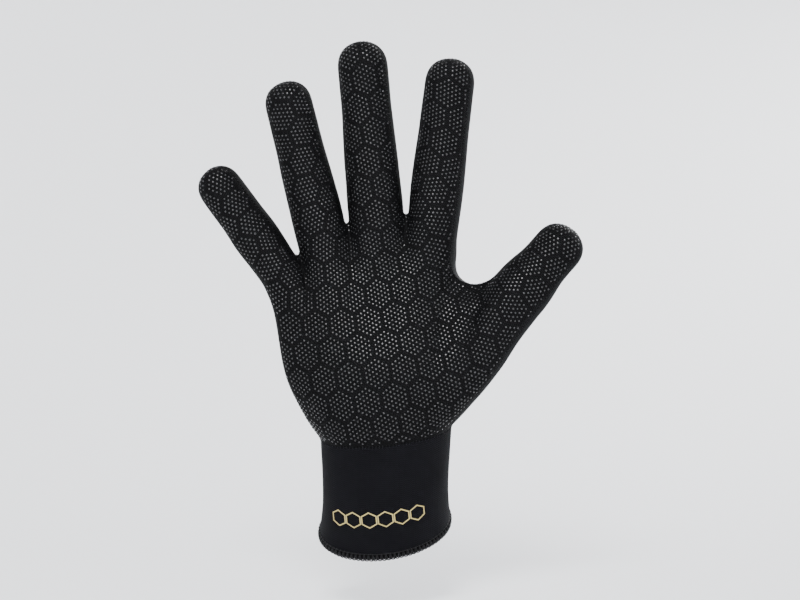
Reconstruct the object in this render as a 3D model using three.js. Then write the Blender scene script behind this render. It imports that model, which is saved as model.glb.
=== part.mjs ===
// A neoprene diving glove for a right hand, in the form it has when a hand fills it.
// Millimetres. The palm faces -Y, the fingers point up and the thumb lies towards +X.
// The origin is the middle of the wrist opening, on the hem.
import * as THREE from "three";

// Cloth and seams
const WALL = 2.5; // neoprene foam with a knitted face on both sides
const SEAM_GAP = 0.3; // between two panels that meet at a seam

// Cuff, along its middle line from the hem to the wrist seam
const CUFF_LENGTH = 56;
const HEM_WIDTH = 68;
const HEM_DEPTH = 52;
const WRIST_WIDTH = 66.5;
const WRIST_DEPTH = 46;
const CUFF_WAIST = 3; // how much narrower the cuff is between its ends
const HEM_TILT = 33; // degrees that the hand is bent back over the forearm, at the hem
const WRIST_TILT = 17; // and at the wrist seam
const CUFF_ROLL = 6; // degrees that the hem and the wrist seam rise towards the thumb
const CUFF_MIDDLE_SHIFT = 1; // the wrist seam's middle stands this far towards the thumb

// Overlocked edging round the hem
const EDGING_THREAD = 0.7; // thickness of the thread cover
const EDGING_REACH = 2.4; // how far it reaches up both faces of the cuff

// Palm
const PALM_LENGTH = 107; // wrist seam to the root of the middle finger
const PALM_LEAN = -2.7; // degrees, negative is towards the little finger
const HAND_FORWARD = 5; // the hand stands this far in front of the wrist seam's middle
const KNUCKLE_DEPTH = 26; // of the palm across the finger roots
const INDEX_SIDE_REACH = 4; // how far that form reaches past the index finger's root
const FINGER_WEB = 2; // from one finger's root to the next
const THUMB_WEB = 27; // from the index finger's root to the thumb's root
const THUMB_WEB_LEAN = 134; // degrees, the way that web runs, down towards the thumb
const THUMB_WEB_SAG = 12; // how deep the curve between index finger and thumb hangs
const LITTLE_SIDE_FLARE = 36; // degrees that the palm widens above the wrist seam
const THUMB_SIDE_FLARE = 40;

// Digits: a free length from root to tip, and the width and depth of the tube
const LITTLE_LENGTH = 59;
const LITTLE_WIDTH = 23.4;
const LITTLE_DEPTH = 21;
const RING_LENGTH = 79;
const RING_WIDTH = 25;
const RING_DEPTH = 23;
const MIDDLE_LENGTH = 87;
const MIDDLE_WIDTH = 26.6;
const MIDDLE_DEPTH = 24;
const INDEX_LENGTH = 82.4;
const INDEX_WIDTH = 26.4;
const INDEX_DEPTH = 24;
const THUMB_LENGTH = 40.4;
const THUMB_WIDTH = 26.6;
const THUMB_DEPTH = 25;

// lean: the way the digit points, degrees from upright, positive towards the thumb.
// slope: the way its root line runs; root: the root line's length as a share of the width.
// forward and curl: how far the root and the tip stand in front, as shares of the depth.
// palmTo: degrees round the digit to which the palm's cloth reaches on its thumb side.
// nextToLittle and nextToThumb: the fingers that share a palm with it on either side.
const DIGITS = {
  little: { length: LITTLE_LENGTH, width: LITTLE_WIDTH, depth: LITTLE_DEPTH,
    lean: -35.6, slope: -35.8, root: 0.93, forward: 0.14, curl: 0.34, palmTo: 52, nextToThumb: "ring" },
  ring: { length: RING_LENGTH, width: RING_WIDTH, depth: RING_DEPTH,
    lean: -13.8, slope: -33, root: 1.09, forward: 0.04, curl: 0.38, palmTo: 60,
    nextToLittle: "little", nextToThumb: "middle" },
  middle: { length: MIDDLE_LENGTH, width: MIDDLE_WIDTH, depth: MIDDLE_DEPTH,
    lean: -5.2, slope: -9.1, root: 1.05, forward: 0, curl: 0.36, palmTo: 58,
    nextToLittle: "ring", nextToThumb: "index" },
  index: { length: INDEX_LENGTH, width: INDEX_WIDTH, depth: INDEX_DEPTH,
    lean: 6.8, slope: 24.4, root: 1.03, forward: 0.03, curl: 0.32, palmTo: 50,
    nextToLittle: "middle" },
  thumb: { length: THUMB_LENGTH, width: THUMB_WIDTH, depth: THUMB_DEPTH,
    lean: 41.1, slope: 41.1, root: 1.1, forward: 0.34, curl: 0.16, palmTo: 50 },
};

// A digit's girth from its root to the start of its rounded end, as shares of width and depth
const GIRTH = [
  { along: 0, width: 1, depth: 1.1 },
  { along: 0.35, width: 1.01, depth: 1.02 },
  { along: 0.65, width: 0.955, depth: 0.97 },
  { along: 1, width: 0.935, depth: 0.9 },
];
const CAP = 0.92; // length of the rounded end, a share of half the digit's width
const SECTION_POWER = 2.2; // roundness of a digit's section and end: 2 is an ellipse
const ROOT_BLEND = 0.4; // share of a digit over which its root line turns square to it

// Degrees round a digit from the middle of its palm side towards the thumb, seam by seam
const SEAMS = { frontLittle: -72, backThumb: 118, backLittle: 235 };
// The same round the wrist, where only the two outer seams arrive
const WRIST_SEAMS = { frontLittle: -80, frontThumb: 58, backThumb: 96, backLittle: 256 };

// Widths that each stretch of the skin takes at the wrist, as shares of one digit's
const WRIST_SHARES = { digit: 1, thumb: 1.35, fingerWeb: 0.4, thumbWeb: 0.6 };

// Swells of the palm: how far out as a share of the wrist's depth, where from the wrist (0)
// to the fingers (1), at which degrees round, and how far each way it spreads
const SWELLS = [
  { name: "heel on the little side", out: 0.09, up: 0.42, turn: -76, high: 0.26, wide: 60 },
  { name: "ball of the thumb", out: 0.1, up: 0.42, turn: 40, high: 0.26, wide: 42 },
  { name: "hollow of the palm", out: -0.07, up: 0.62, turn: -4, high: 0.24, wide: 34 },
  { name: "back over the knuckles", out: 0.06, up: 0.86, turn: 180, high: 0.3, wide: 60 },
];
const WRIST_PULL = 0.85; // how strongly the palm keeps the way it starts at the wrist
const ROOT_PULL = 0.75; // and the way it ends at each digit
const THUMB_WEB_FULL = 2; // how far the skin between index finger and thumb swells each way
const SMOOTH_UNTIL = 0.66; // share of the palm's length below which nothing parts the fingers
const PALM_POWER = 3; // roundness of the palm's form across the finger roots
const WEB_DIP = 0.2; // how deep a finger web hangs, a share of its width
const WEB_PINCH = 0.3; // how far the web's edges draw together over the ridge
const THUMB_WEB_PINCH = 0.5;
const RIDGE_TURN = 2.5; // how much the skin turns over the ridge where a web ends
const SWELL_FADE = 0.14; // share of the palm's length over which a swell fades at its ends
const SHARPEST_CORNER = 0.3; // keeps a panel's sharp corners from moving too far at a seam

// Fineness of the skin
const DIGIT_COLUMNS = 4; // across the palm side or the back of one digit
const WEB_COLUMNS = 2;
const THUMB_WEB_COLUMNS = 4;
const PALM_ROWS = 7; // wrist seam to thumb web
const KNUCKLE_ROWS = 3; // thumb web to finger webs
const KNUCKLE_START = 0.84; // share of the palm's length where the thumb web leaves
const CUFF_ROWS = 4;
const TUBE_ROW = 11; // length of one row along a digit
const CAP_TURNS = [24, 48, 70]; // degrees of the rows over a digit's rounded end

const { degToRad, lerp, smoothstep } = THREE.MathUtils;
const vec = (x, y, z) => new THREE.Vector3(x, y, z);
const sin = (degrees) => Math.sin(degToRad(degrees));
const cos = (degrees) => Math.cos(degToRad(degrees));
const mid = (a, b, share = 0.5) => a.clone().lerp(b, share);

// Where a way that leans so many degrees from upright points, and what lies square to it
const pointing = (lean) => vec(sin(lean), 0, cos(lean));
const across = (lean) => vec(cos(lean), 0, -sin(lean));

// A value from a table's named column, smooth from row to row
function profile(rows, column, along) {
  const last = rows.length - 2;
  const found = rows.findIndex((row, i) => i <= last && along <= rows[i + 1].along);
  const i = found < 0 ? last : found;
  const slopeAt = (k) => {
    const before = rows[Math.max(k - 1, 0)];
    const after = rows[Math.min(k + 1, rows.length - 1)];
    return (after[column] - before[column]) / (after.along - before.along);
  };
  const span = rows[i + 1].along - rows[i].along;
  const t = (along - rows[i].along) / span;
  return hermite(rows[i][column], slopeAt(i) * span, rows[i + 1][column], slopeAt(i + 1) * span, t);
}

function hermite(start, leaving, end, arriving, t) {
  const s = 1 - t;
  const places = start * s * s * (1 + 2 * t) + end * t * t * (3 - 2 * t);
  return places + leaving * t * s * s - arriving * t * t * s;
}

function hermitePoint(start, leaving, end, arriving, t) {
  const axis = (key) => hermite(start[key], leaving[key], end[key], arriving[key], t);
  return vec(axis("x"), axis("y"), axis("z"));
}

const evenly = (from, to, parts) => [...Array(parts + 1).keys()].map((i) => lerp(from, to, i / parts));

// Cuff: the middle line and the ring round it, at a share of the way from hem to wrist seam

const cuffTilt = (up) => lerp(HEM_TILT, WRIST_TILT, up);

function cuffMiddle(up) {
  const steps = 24;
  const middle = vec(CUFF_MIDDLE_SHIFT * up, 0, 0);
  for (let i = 0; i < steps; i++) {
    const tilt = cuffTilt((up * (i + 0.5)) / steps);
    const step = (CUFF_LENGTH * up) / steps;
    middle.add(vec(0, -sin(tilt) * step, cos(tilt) * step));
  }
  return middle;
}

function cuffPoint(up, turn) {
  const waist = CUFF_WAIST * Math.sin(Math.PI * Math.max(up, 0) ** 0.8);
  const width = lerp(HEM_WIDTH, WRIST_WIDTH, up) - waist;
  const depth = lerp(HEM_DEPTH, WRIST_DEPTH, up) - waist;
  const tilt = cuffTilt(up);
  const side = vec(cos(CUFF_ROLL), 0, sin(CUFF_ROLL)).multiplyScalar((width / 2) * sin(turn));
  const front = vec(0, -cos(tilt), -sin(tilt)).multiplyScalar((depth / 2) * cos(turn));
  return cuffMiddle(up).add(side).add(front);
}

const cuffDirection = (up) => vec(0, -sin(cuffTilt(up)), cos(cuffTilt(up)));

// Digit roots: a chain of root lines and webs to both sides of the middle finger

const wristMiddle = cuffMiddle(1);
const handPlane = wristMiddle.y - HAND_FORWARD;

function placeDigit(name, centre) {
  const digit = DIGITS[name];
  digit.rootWidth = digit.width * digit.root;
  digit.centre = vec(centre.x, handPlane - digit.forward * digit.depth, centre.z);
}

function rootEnd(name, side) {
  const digit = DIGITS[name];
  return digit.centre.clone().addScaledVector(across(digit.slope), (side * digit.width * digit.root) / 2);
}

// The next root's middle lies past the web and half its own root line
function placeBeside(name, neighbour, side) {
  const digit = DIGITS[name];
  const webSlope = (digit.slope + DIGITS[neighbour].slope) / 2;
  const centre = rootEnd(neighbour, side)
    .addScaledVector(across(webSlope), side * FINGER_WEB)
    .addScaledVector(across(digit.slope), (side * digit.width * digit.root) / 2);
  placeDigit(name, centre);
}

placeDigit("middle", wristMiddle.clone().addScaledVector(pointing(PALM_LEAN), PALM_LENGTH));
placeBeside("ring", "middle", -1);
placeBeside("little", "ring", -1);
placeBeside("index", "middle", 1);
const thumbRootWidth = DIGITS.thumb.width * DIGITS.thumb.root;
const thumbStart = rootEnd("index", 1).addScaledVector(pointing(THUMB_WEB_LEAN), THUMB_WEB);
placeDigit("thumb", thumbStart.addScaledVector(across(DIGITS.thumb.slope), thumbRootWidth / 2));

// A point of a digit's skin, so far along from its root and so many degrees round
function digitPoint(digit, along, turn) {
  const capLength = (CAP * digit.width) / 2;
  const tube = digit.length - capLength;
  const share = Math.min(along / tube, 1);
  const square = smoothstep(along, 0, ROOT_BLEND * digit.length);
  const width = lerp(digit.rootWidth, digit.width * profile(GIRTH, "width", share), square);
  const depth = digit.depth * profile(GIRTH, "depth", share);
  const overCap = Math.min(Math.max((along - tube) / capLength, 0), 1);
  const round = (1 - overCap ** SECTION_POWER) ** (1 / SECTION_POWER);
  const bow = (value) => Math.sign(value) * Math.abs(value) ** (2 / SECTION_POWER);
  const curl = digit.curl * digit.depth * (along / digit.length) ** 2;
  return digit.centre
    .clone()
    .addScaledVector(pointing(digit.lean), along)
    .addScaledVector(across(lerp(digit.slope, digit.lean, square)), (width / 2) * round * bow(sin(turn)))
    .add(vec(0, -curl - (depth / 2) * round * bow(cos(turn)), 0));
}

// Skin: points and faces, each face with the panel it belongs to

const points = [];
const faces = [];
const addPoint = (point) => points.push(point) - 1;

function addFace(panel, corners) {
  const kept = corners.filter((corner, i) => corner !== corners[(i + 1) % corners.length]);
  faces.push({ panel, corners: kept });
}

// Two lines of points side by side, the left one first as seen from outside
function addStrip(panel, left, right) {
  for (let row = 0; row + 1 < Math.min(left.length, right.length); row++) {
    addFace(panel, [left[row], right[row], right[row + 1], left[row + 1]]);
  }
}

const addStrips = (panel, lines) => lines.slice(1).forEach((line, i) => addStrip(panel, lines[i], line));

// How far out the palm swells at a place on it
function swell(up, turn) {
  return SWELLS.reduce((sum, s) => {
    const away = ((((turn - s.turn) % 360) + 540) % 360) - 180;
    const spread = ((up - s.up) / s.high) ** 2 + (away / s.wide) ** 2;
    return sum + s.out * WRIST_DEPTH * Math.exp(-spread);
  }, 0);
}

// A strand runs up the skin from the wrist seam to a digit's root or to a web.
// wristTurn is where it starts, end is where it ends, lean is the way it points there, and
// over is how it turns over a web's ridge. flat is where it would end if the fingers didn't
// part: the palm keeps to that until near the top.
function strandPoint(strand, up) {
  const start = cuffPoint(1, strand.wristTurn);
  const side = sin(strand.wristTurn);
  const flare = side * (side > 0 ? THUMB_SIDE_FLARE : LITTLE_SIDE_FLARE);
  const leaving = cuffDirection(1).multiplyScalar(cos(flare)).addScaledVector(across(0), sin(flare));
  const reach = start.distanceTo(strand.end);
  leaving.multiplyScalar(reach * WRIST_PULL);
  const straight = pointing(strand.lean).multiplyScalar(reach * ROOT_PULL);
  const formed = hermitePoint(start, leaving, strand.end, straight.clone().add(strand.over), up);
  const smooth = hermitePoint(start, leaving, strand.flat, straight, up);
  const point = mid(smooth, formed, smoothstep(up, SMOOTH_UNTIL, 1));
  const outward = vec(side, -cos(strand.wristTurn), 0);
  const fade = smoothstep(up, 0, SWELL_FADE) * (1 - smoothstep(up, 1 - SWELL_FADE, 1));
  return point.addScaledVector(outward, swell(up, strand.wristTurn) * fade);
}

function digitStrand(name, turn, wristTurn) {
  const digit = DIGITS[name];
  const end = digitPoint(digit, 0, turn);
  const flat = name === "thumb" ? end : onPalmForm(end, digit.centre.y, cos(turn));
  return { wristTurn, end, flat, lean: leanAcross(name, sin(turn)), over: vec(0, 0, 0) };
}

// A finger's strands fan out towards those of the fingers beside it
function leanAcross(name, side) {
  const digit = DIGITS[name];
  const beside = DIGITS[side > 0 ? digit.nextToThumb : digit.nextToLittle] ?? digit;
  return lerp(digit.lean, beside.lean, Math.abs(side) / 2);
}

// The same place on one smooth form across all four finger roots, thin at its outer sides
function onPalmForm(point, plane, facing) {
  const from = rootEnd("little", -1).x;
  const to = rootEnd("index", 1).x + INDEX_SIDE_REACH;
  const place = Math.min(Math.abs((2 * (point.x - from)) / (to - from) - 1), 1);
  const depth = KNUCKLE_DEPTH * (1 - place ** PALM_POWER) ** (1 / PALM_POWER);
  return vec(point.x, plane - (Math.sign(facing) * depth) / 2, point.z);
}

// The stretches of the skin from the little finger to the thumb: each digit and each web
const STRETCHES = ["little", "ring", "middle", "index", "thumb"].flatMap((name, i, names) =>
  i ? [{ web: [names[i - 1], name] }, { digit: name }] : [{ digit: name }],
);
const hasThumb = (stretch) => stretch.digit === "thumb" || Boolean(stretch.web?.includes("thumb"));

// The degrees round the wrist at which each stretch's strands start
function spreadRoundWrist(stretches, from, to) {
  const share = (stretch) => {
    if (stretch.digit) return hasThumb(stretch) ? WRIST_SHARES.thumb : WRIST_SHARES.digit;
    return hasThumb(stretch) ? WRIST_SHARES.thumbWeb : WRIST_SHARES.fingerWeb;
  };
  const total = stretches.reduce((sum, stretch) => sum + share(stretch), 0);
  let passed = 0;
  return stretches.map((stretch) => {
    const start = lerp(from, to, passed / total);
    passed += share(stretch);
    const end = lerp(from, to, passed / total);
    if (stretch.digit) return { ...stretch, wristTurns: evenly(start, end, DIGIT_COLUMNS) };
    const columns = hasThumb(stretch) ? THUMB_WEB_COLUMNS : WEB_COLUMNS;
    return { ...stretch, wristTurns: evenly(start, end, columns).slice(1, -1) };
  });
}

const palmSide = spreadRoundWrist(STRETCHES, WRIST_SEAMS.frontLittle, WRIST_SEAMS.frontThumb);
const backSide = spreadRoundWrist([...STRETCHES].reverse(), WRIST_SEAMS.backThumb, WRIST_SEAMS.backLittle);
const palmTurns = (name) => evenly(SEAMS.frontLittle, DIGITS[name].palmTo, DIGIT_COLUMNS);
const backTurns = evenly(SEAMS.backThumb, SEAMS.backLittle, DIGIT_COLUMNS);
const sideTurn = {
  thumb: (name) => (DIGITS[name].palmTo + SEAMS.backThumb) / 2,
  little: () => (SEAMS.frontLittle + 360 + SEAMS.backLittle) / 2,
};
const wristSideTurn = {
  thumb: (WRIST_SEAMS.frontThumb + WRIST_SEAMS.backThumb) / 2,
  little: (WRIST_SEAMS.frontLittle + 360 + WRIST_SEAMS.backLittle) / 2,
};

// Across one side of a digit's root: its palm-side edge, its middle and its back edge
function sideOfRoot(name, side) {
  const onThumbSide = side === "thumb";
  const palmTurn = onThumbSide ? DIGITS[name].palmTo : SEAMS.frontLittle;
  const backTurn = onThumbSide ? SEAMS.backThumb : SEAMS.backLittle;
  return [palmTurn, sideTurn[side](name), backTurn].map((turn) => digitPoint(DIGITS[name], 0, turn));
}

// The same across the index finger's side lower down, beside the thumb web
function sideOfIndex(up) {
  const [palmEdge, middle, backEdge] = sideOfRoot("index", "thumb");
  const palmTurn = palmSide.find((stretch) => stretch.digit === "index").wristTurns.at(-1);
  const backTurn = backSide.find((stretch) => stretch.digit === "index").wristTurns[0];
  const palmPoint = strandPoint(digitStrand("index", DIGITS.index.palmTo, palmTurn), up);
  const backPoint = strandPoint(digitStrand("index", SEAMS.backThumb, backTurn), up);
  const bulge = middle.clone().sub(mid(palmEdge, backEdge));
  return [palmPoint, mid(palmPoint, backPoint).add(bulge), backPoint];
}

function fingerWebCurve(web, left, right, share) {
  const lean = (DIGITS[web[0]].lean + DIGITS[web[1]].lean) / 2;
  const hang = 4 * share * (1 - share) * WEB_DIP * FINGER_WEB;
  return mid(left, right, share).addScaledVector(pointing(lean), -hang);
}

function thumbWebCurve(web, left, right, share) {
  const [below, besideThumb] = [[left, web[0]], [right, web[1]]].map(([point, name]) =>
    point.clone().addScaledVector(pointing(DIGITS[name].lean), -THUMB_WEB_SAG),
  );
  return new THREE.CubicBezierCurve3(left, below, besideThumb, right).getPoint(share);
}

// A web's palm-side edge, ridge and back edge at a share of the way to its next digit
function webEdges(stretch, share) {
  const { web } = stretch;
  const left = hasThumb(stretch) ? sideOfIndex(KNUCKLE_START) : sideOfRoot(web[0], "thumb");
  const right = sideOfRoot(web[1], "little");
  const curve = hasThumb(stretch) ? thumbWebCurve : fingerWebCurve;
  const [palmEdge, ridge, backEdge] = left.map((point, i) => curve(web, point, right[i], share));
  const pinch = hasThumb(stretch) ? THUMB_WEB_PINCH : WEB_PINCH;
  return [mid(palmEdge, ridge, pinch), ridge, mid(backEdge, ridge, pinch / 2)];
}

// A strand that ends at a web turns over the web's ridge there
function webStrand(stretch, edge, share, wristTurn) {
  const edges = webEdges(stretch, share);
  const end = edges[edge];
  const over = edges[1].clone().sub(end).multiplyScalar(RIDGE_TURN);
  const lean = lerp(DIGITS[stretch.web[0]].lean, DIGITS[stretch.web[1]].lean, share);
  const facing = 1 - edge;
  const ends = hasThumb(stretch) ? [sideOfIndex(KNUCKLE_START), sideOfRoot("thumb", "little")] : null;
  const plane = lerp(DIGITS[stretch.web[0]].centre.y, DIGITS[stretch.web[1]].centre.y, share);
  const flat = ends
    ? mid(ends[0][edge], ends[1][edge], share).add(vec(0, -facing * THUMB_WEB_FULL, 0))
    : onPalmForm(end, plane, facing);
  return { wristTurn, end, flat, lean, over };
}

// Heights up a strand: one that ends at the thumb or its web ends with the palm's rows
const thumbRows = evenly(0, 1, PALM_ROWS);
const lowerRows = evenly(0, KNUCKLE_START, PALM_ROWS);
const fingerRows = [...lowerRows, ...evenly(KNUCKLE_START, 1, KNUCKLE_ROWS).slice(1)];
const cuffRows = evenly(0, 1, CUFF_ROWS);
const cuffLines = [];

// Adds a strand's points, with those of the cuff below it, and gives the line above the seam
function addStrand(strand, rows) {
  const cuffLine = cuffRows.map((up) => addPoint(cuffPoint(up, strand.wristTurn)));
  cuffLines.push(cuffLine);
  return rows.map((up, row) => (row ? addPoint(strandPoint(strand, up)) : cuffLine[CUFF_ROWS]));
}

function addStretch(stretch, isBack) {
  const rows = hasThumb(stretch) ? thumbRows : fingerRows;
  return stretch.wristTurns.map((wristTurn, i) => {
    if (stretch.digit) {
      const turn = (isBack ? backTurns : palmTurns(stretch.digit))[i];
      return addStrand(digitStrand(stretch.digit, turn, wristTurn), rows);
    }
    const share = (i + 1) / (stretch.wristTurns.length + 1);
    const strand = webStrand(stretch, isBack ? 2 : 0, isBack ? 1 - share : share, wristTurn);
    return addStrand(strand, rows);
  });
}

const keyOf = (stretch) => stretch.digit ?? stretch.web.join("_");
const palmLines = {};
const backLines = {};
palmSide.forEach((stretch) => (palmLines[keyOf(stretch)] = addStretch(stretch, false)));
const thumbSideTurn = sideTurn.thumb("thumb");
const thumbOuter = addStrand(digitStrand("thumb", thumbSideTurn, wristSideTurn.thumb), thumbRows);
backSide.forEach((stretch) => (backLines[keyOf(stretch)] = addStretch(stretch, true)));
const littleSideTurn = sideTurn.little();
const littleOuter = addStrand(digitStrand("little", littleSideTurn, wristSideTurn.little), fingerRows);

// Palm, back and the cuff below them
const allPalm = Object.values(palmLines).flat();
const allBack = Object.values(backLines).flat();
addStrips("palm_panel", allPalm);
addStrips("back_panel", [allPalm.at(-1), thumbOuter, allBack[0]]);
addStrips("back_panel", allBack);
addStrips("back_panel", [allBack.at(-1), littleOuter, allPalm[0]]);
addStrips("cuff", [...cuffLines, cuffLines[0]]);

// The index finger's side above the thumb web
const indexSide = fingerRows.slice(PALM_ROWS).map((up) => addPoint(sideOfIndex(up)[1]));
addStrips("back_panel", [
  palmLines.index.at(-1).slice(PALM_ROWS),
  indexSide,
  backLines.index[0].slice(PALM_ROWS),
]);

// The middle point of each side of each digit's root
const rootMiddle = {};
for (const name of Object.keys(DIGITS)) {
  rootMiddle[name] = {};
  for (const side of ["thumb", "little"]) {
    rootMiddle[name][side] = addPoint(sideOfRoot(name, side)[1]);
  }
}
rootMiddle.little.little = littleOuter.at(-1);
rootMiddle.thumb.thumb = thumbOuter.at(-1);
rootMiddle.index.thumb = indexSide.at(-1);

// A web joins the sides of two digits with its ridge between the palm and the back
const panelOfSide = {};

function addWeb(stretch) {
  const [leftName, rightName] = stretch.web;
  const key = keyOf(stretch);
  const panel = hasThumb(stretch) ? "back_panel" : `side_strip_${key}`;
  panelOfSide[`${leftName} thumb`] = panel;
  panelOfSide[`${rightName} little`] = panel;
  const palmTops = palmLines[key].map((line) => line.at(-1));
  const backTops = backLines[key].map((line) => line.at(-1)).reverse();
  const inner = palmTops.map((palmTop, i) => {
    const ridge = addPoint(webEdges(stretch, (i + 1) / (palmTops.length + 1))[1]);
    return [palmTop, ridge, backTops[i]];
  });
  const leftRow = hasThumb(stretch) ? PALM_ROWS : fingerRows.length - 1;
  const left = [
    palmLines[leftName].at(-1)[leftRow],
    hasThumb(stretch) ? indexSide[0] : rootMiddle[leftName].thumb,
    backLines[leftName][0][leftRow],
  ];
  const right = [
    palmLines[rightName][0].at(-1),
    rootMiddle[rightName].little,
    backLines[rightName].at(-1).at(-1),
  ];
  addStrips(panel, [left, ...inner, right]);
}

STRETCHES.filter((stretch) => stretch.web).forEach(addWeb);

// Digits: rings up the tube, closer over the rounded end, and one point at the tip
function addDigit(name) {
  const digit = DIGITS[name];
  const capLength = (CAP * digit.width) / 2;
  const tube = digit.length - capLength;
  const heights = evenly(0, tube, Math.ceil(tube / TUBE_ROW)).slice(1);
  CAP_TURNS.forEach((turn) => heights.push(tube + capLength * sin(turn)));
  const around = [...palmTurns(name), sideTurn.thumb(name), ...backTurns, sideTurn.little()];
  const root = [
    ...palmLines[name].map((line) => line.at(-1)),
    rootMiddle[name].thumb,
    ...backLines[name].map((line) => line.at(-1)),
    rootMiddle[name].little,
  ];
  const rings = heights.map((along) => around.map((turn) => addPoint(digitPoint(digit, along, turn))));
  const tip = addPoint(digitPoint(digit, digit.length, 0));
  const columns = root.map((rootPoint, i) => [rootPoint, ...rings.map((ring) => ring[i]), tip]);
  const thumbSide = columns.slice(DIGIT_COLUMNS, DIGIT_COLUMNS + 3);
  const backFrom = DIGIT_COLUMNS + 2;
  addStrips("palm_panel", columns.slice(0, DIGIT_COLUMNS + 1));
  addStrips(panelOfSide[`${name} thumb`] ?? "back_panel", thumbSide);
  addStrips("back_panel", columns.slice(backFrom, backFrom + DIGIT_COLUMNS + 1));
  addStrips(panelOfSide[`${name} little`] ?? "back_panel", [columns.at(-2), columns.at(-1), columns[0]]);
}

Object.keys(DIGITS).forEach(addDigit);

// Panels: the skin cut along the seams, each with the thickness of the cloth

function faceNormal(face) {
  const corners = face.corners.map((corner) => points[corner]);
  const diagonal = corners[2].clone().sub(corners[0]);
  const otherDiagonal = (corners[3] ?? corners[0]).clone().sub(corners[1]);
  return diagonal.cross(otherDiagonal);
}

const normals = points.map(() => vec(0, 0, 0));
faces.forEach((face) => face.corners.forEach((corner) => normals[corner].add(faceNormal(face))));
normals.forEach((normal) => normal.normalize());

// The edges of a panel that no second face of it shares, and which way its inside lies
function panelBorder(panelFaces) {
  const open = new Map();
  for (const face of panelFaces) {
    face.corners.forEach((from, i) => {
      const to = face.corners[(i + 1) % face.corners.length];
      if (open.delete(`${to} ${from}`)) return;
      const inside = faceNormal(face).cross(points[to].clone().sub(points[from])).normalize();
      open.set(`${from} ${to}`, { from, to, inside });
    });
  }
  return [...open.values()];
}

// How far each border point moves in, so that two panels stay the seam's gap apart
function seamShifts(border) {
  const insides = new Map();
  border.forEach(({ from, to, inside }) =>
    [from, to].forEach((corner) => insides.set(corner, [...(insides.get(corner) ?? []), inside])),
  );
  const shifts = new Map();
  insides.forEach((ways, corner) => {
    const sum = ways.reduce((total, way) => total.clone().add(way), vec(0, 0, 0));
    const spread = Math.max(sum.dot(ways[0]), SHARPEST_CORNER);
    shifts.set(corner, sum.multiplyScalar(SEAM_GAP / 2 / spread));
  });
  return shifts;
}

function solidFrom(vertices, loops) {
  const geometry = new THREE.BufferGeometry().setFromPoints(vertices);
  const fan = (loop) => loop.slice(2).flatMap((corner, i) => [loop[0], loop[i + 1], corner]);
  geometry.setIndex(loops.flatMap(fan));
  geometry.computeVertexNormals();
  return geometry;
}

function panelSolid(panel) {
  const panelFaces = faces.filter((face) => face.panel === panel);
  const border = panelBorder(panelFaces);
  const shifts = seamShifts(border);
  const used = [...new Set(panelFaces.flatMap((face) => face.corners))];
  const outer = new Map(used.map((corner, i) => [corner, i]));
  const inner = (corner) => outer.get(corner) + used.length;
  const skin = used.map((corner) => points[corner].clone().add(shifts.get(corner) ?? vec(0, 0, 0)));
  const lining = skin.map((point, i) => point.clone().addScaledVector(normals[used[i]], -WALL));
  const loops = [
    ...panelFaces.map((face) => face.corners.map((corner) => outer.get(corner))),
    ...panelFaces.map((face) => face.corners.map(inner).reverse()),
    ...border.map(({ from, to }) => [outer.get(to), outer.get(from), inner(from), inner(to)]),
  ];
  return solidFrom([...skin, ...lining], loops);
}

// The edging: thread that covers the cuff's cut end and a little of both its faces
function edgingSolid() {
  const off = WALL / 2 + SEAM_GAP;
  const out = off + EDGING_THREAD;
  const end = SEAM_GAP / 2;
  const section = [
    [out, end + EDGING_THREAD], [out, -EDGING_REACH], [off, -EDGING_REACH], [off, end],
    [-off, end], [-off, -EDGING_REACH], [-out, -EDGING_REACH], [-out, end + EDGING_THREAD],
  ];
  const vertices = cuffLines.flatMap(([hem, above]) => {
    const normal = normals[hem];
    const down = points[hem].clone().sub(points[above]).normalize();
    const middle = points[hem].clone().addScaledVector(normal, -WALL / 2);
    return section.map(([x, y]) => middle.clone().addScaledVector(normal, x).addScaledVector(down, y));
  });
  const at = (line, k) => (line % cuffLines.length) * section.length + (k % section.length);
  const quad = (line, k) => [at(line, k), at(line + 1, k), at(line + 1, k + 1), at(line, k + 1)];
  const loops = [...cuffLines.keys()].flatMap((line) => [...section.keys()].map((k) => quad(line, k)));
  return solidFrom(vertices, loops);
}

// Finishes
const printed = new THREE.MeshStandardMaterial({ color: 0x1f1f23, roughness: 0.62, metalness: 0 });
const plain = new THREE.MeshStandardMaterial({ color: 0x17171a, roughness: 0.85, metalness: 0 });
const strip = new THREE.MeshStandardMaterial({ color: 0x141417, roughness: 0.85, metalness: 0 });
const cuffCloth = new THREE.MeshStandardMaterial({ color: 0x18181d, roughness: 0.85, metalness: 0 });
const thread = new THREE.MeshStandardMaterial({ color: 0x0e0e10, roughness: 0.7, metalness: 0 });

const glove = new THREE.Group();

function addPiece(name, geometry, material) {
  const piece = new THREE.Mesh(geometry, material);
  piece.name = name;
  glove.add(piece);
}

addPiece("palm_panel", panelSolid("palm_panel"), printed);
addPiece("back_panel", panelSolid("back_panel"), plain);
for (const stretch of STRETCHES.filter((each) => each.web && !hasThumb(each))) {
  const name = `side_strip_${keyOf(stretch)}`;
  addPiece(name, panelSolid(name), strip);
}
addPiece("cuff", panelSolid("cuff"), cuffCloth);
addPiece("cuff_edging", edgingSolid(), thread);

export default glove;
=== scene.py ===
# %% [markdown]
# # A neoprene diving glove
# The real glove is cut from flat sheets of neoprene: foam rubber about 2.5 mm thick with a knitted
# face on both sides. A palm, a back, three narrow strips between the fingers and a cuff are glued
# and stitched edge to edge, and grip dots are printed on the palm before it is cut.
# This scene follows the same order: a skin for a filled hand, cut into panels, each laid flat
# once so that knit and print follow the cloth, and then seams, hem and print on top of it.

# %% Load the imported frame
import math
from functools import lru_cache

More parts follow.
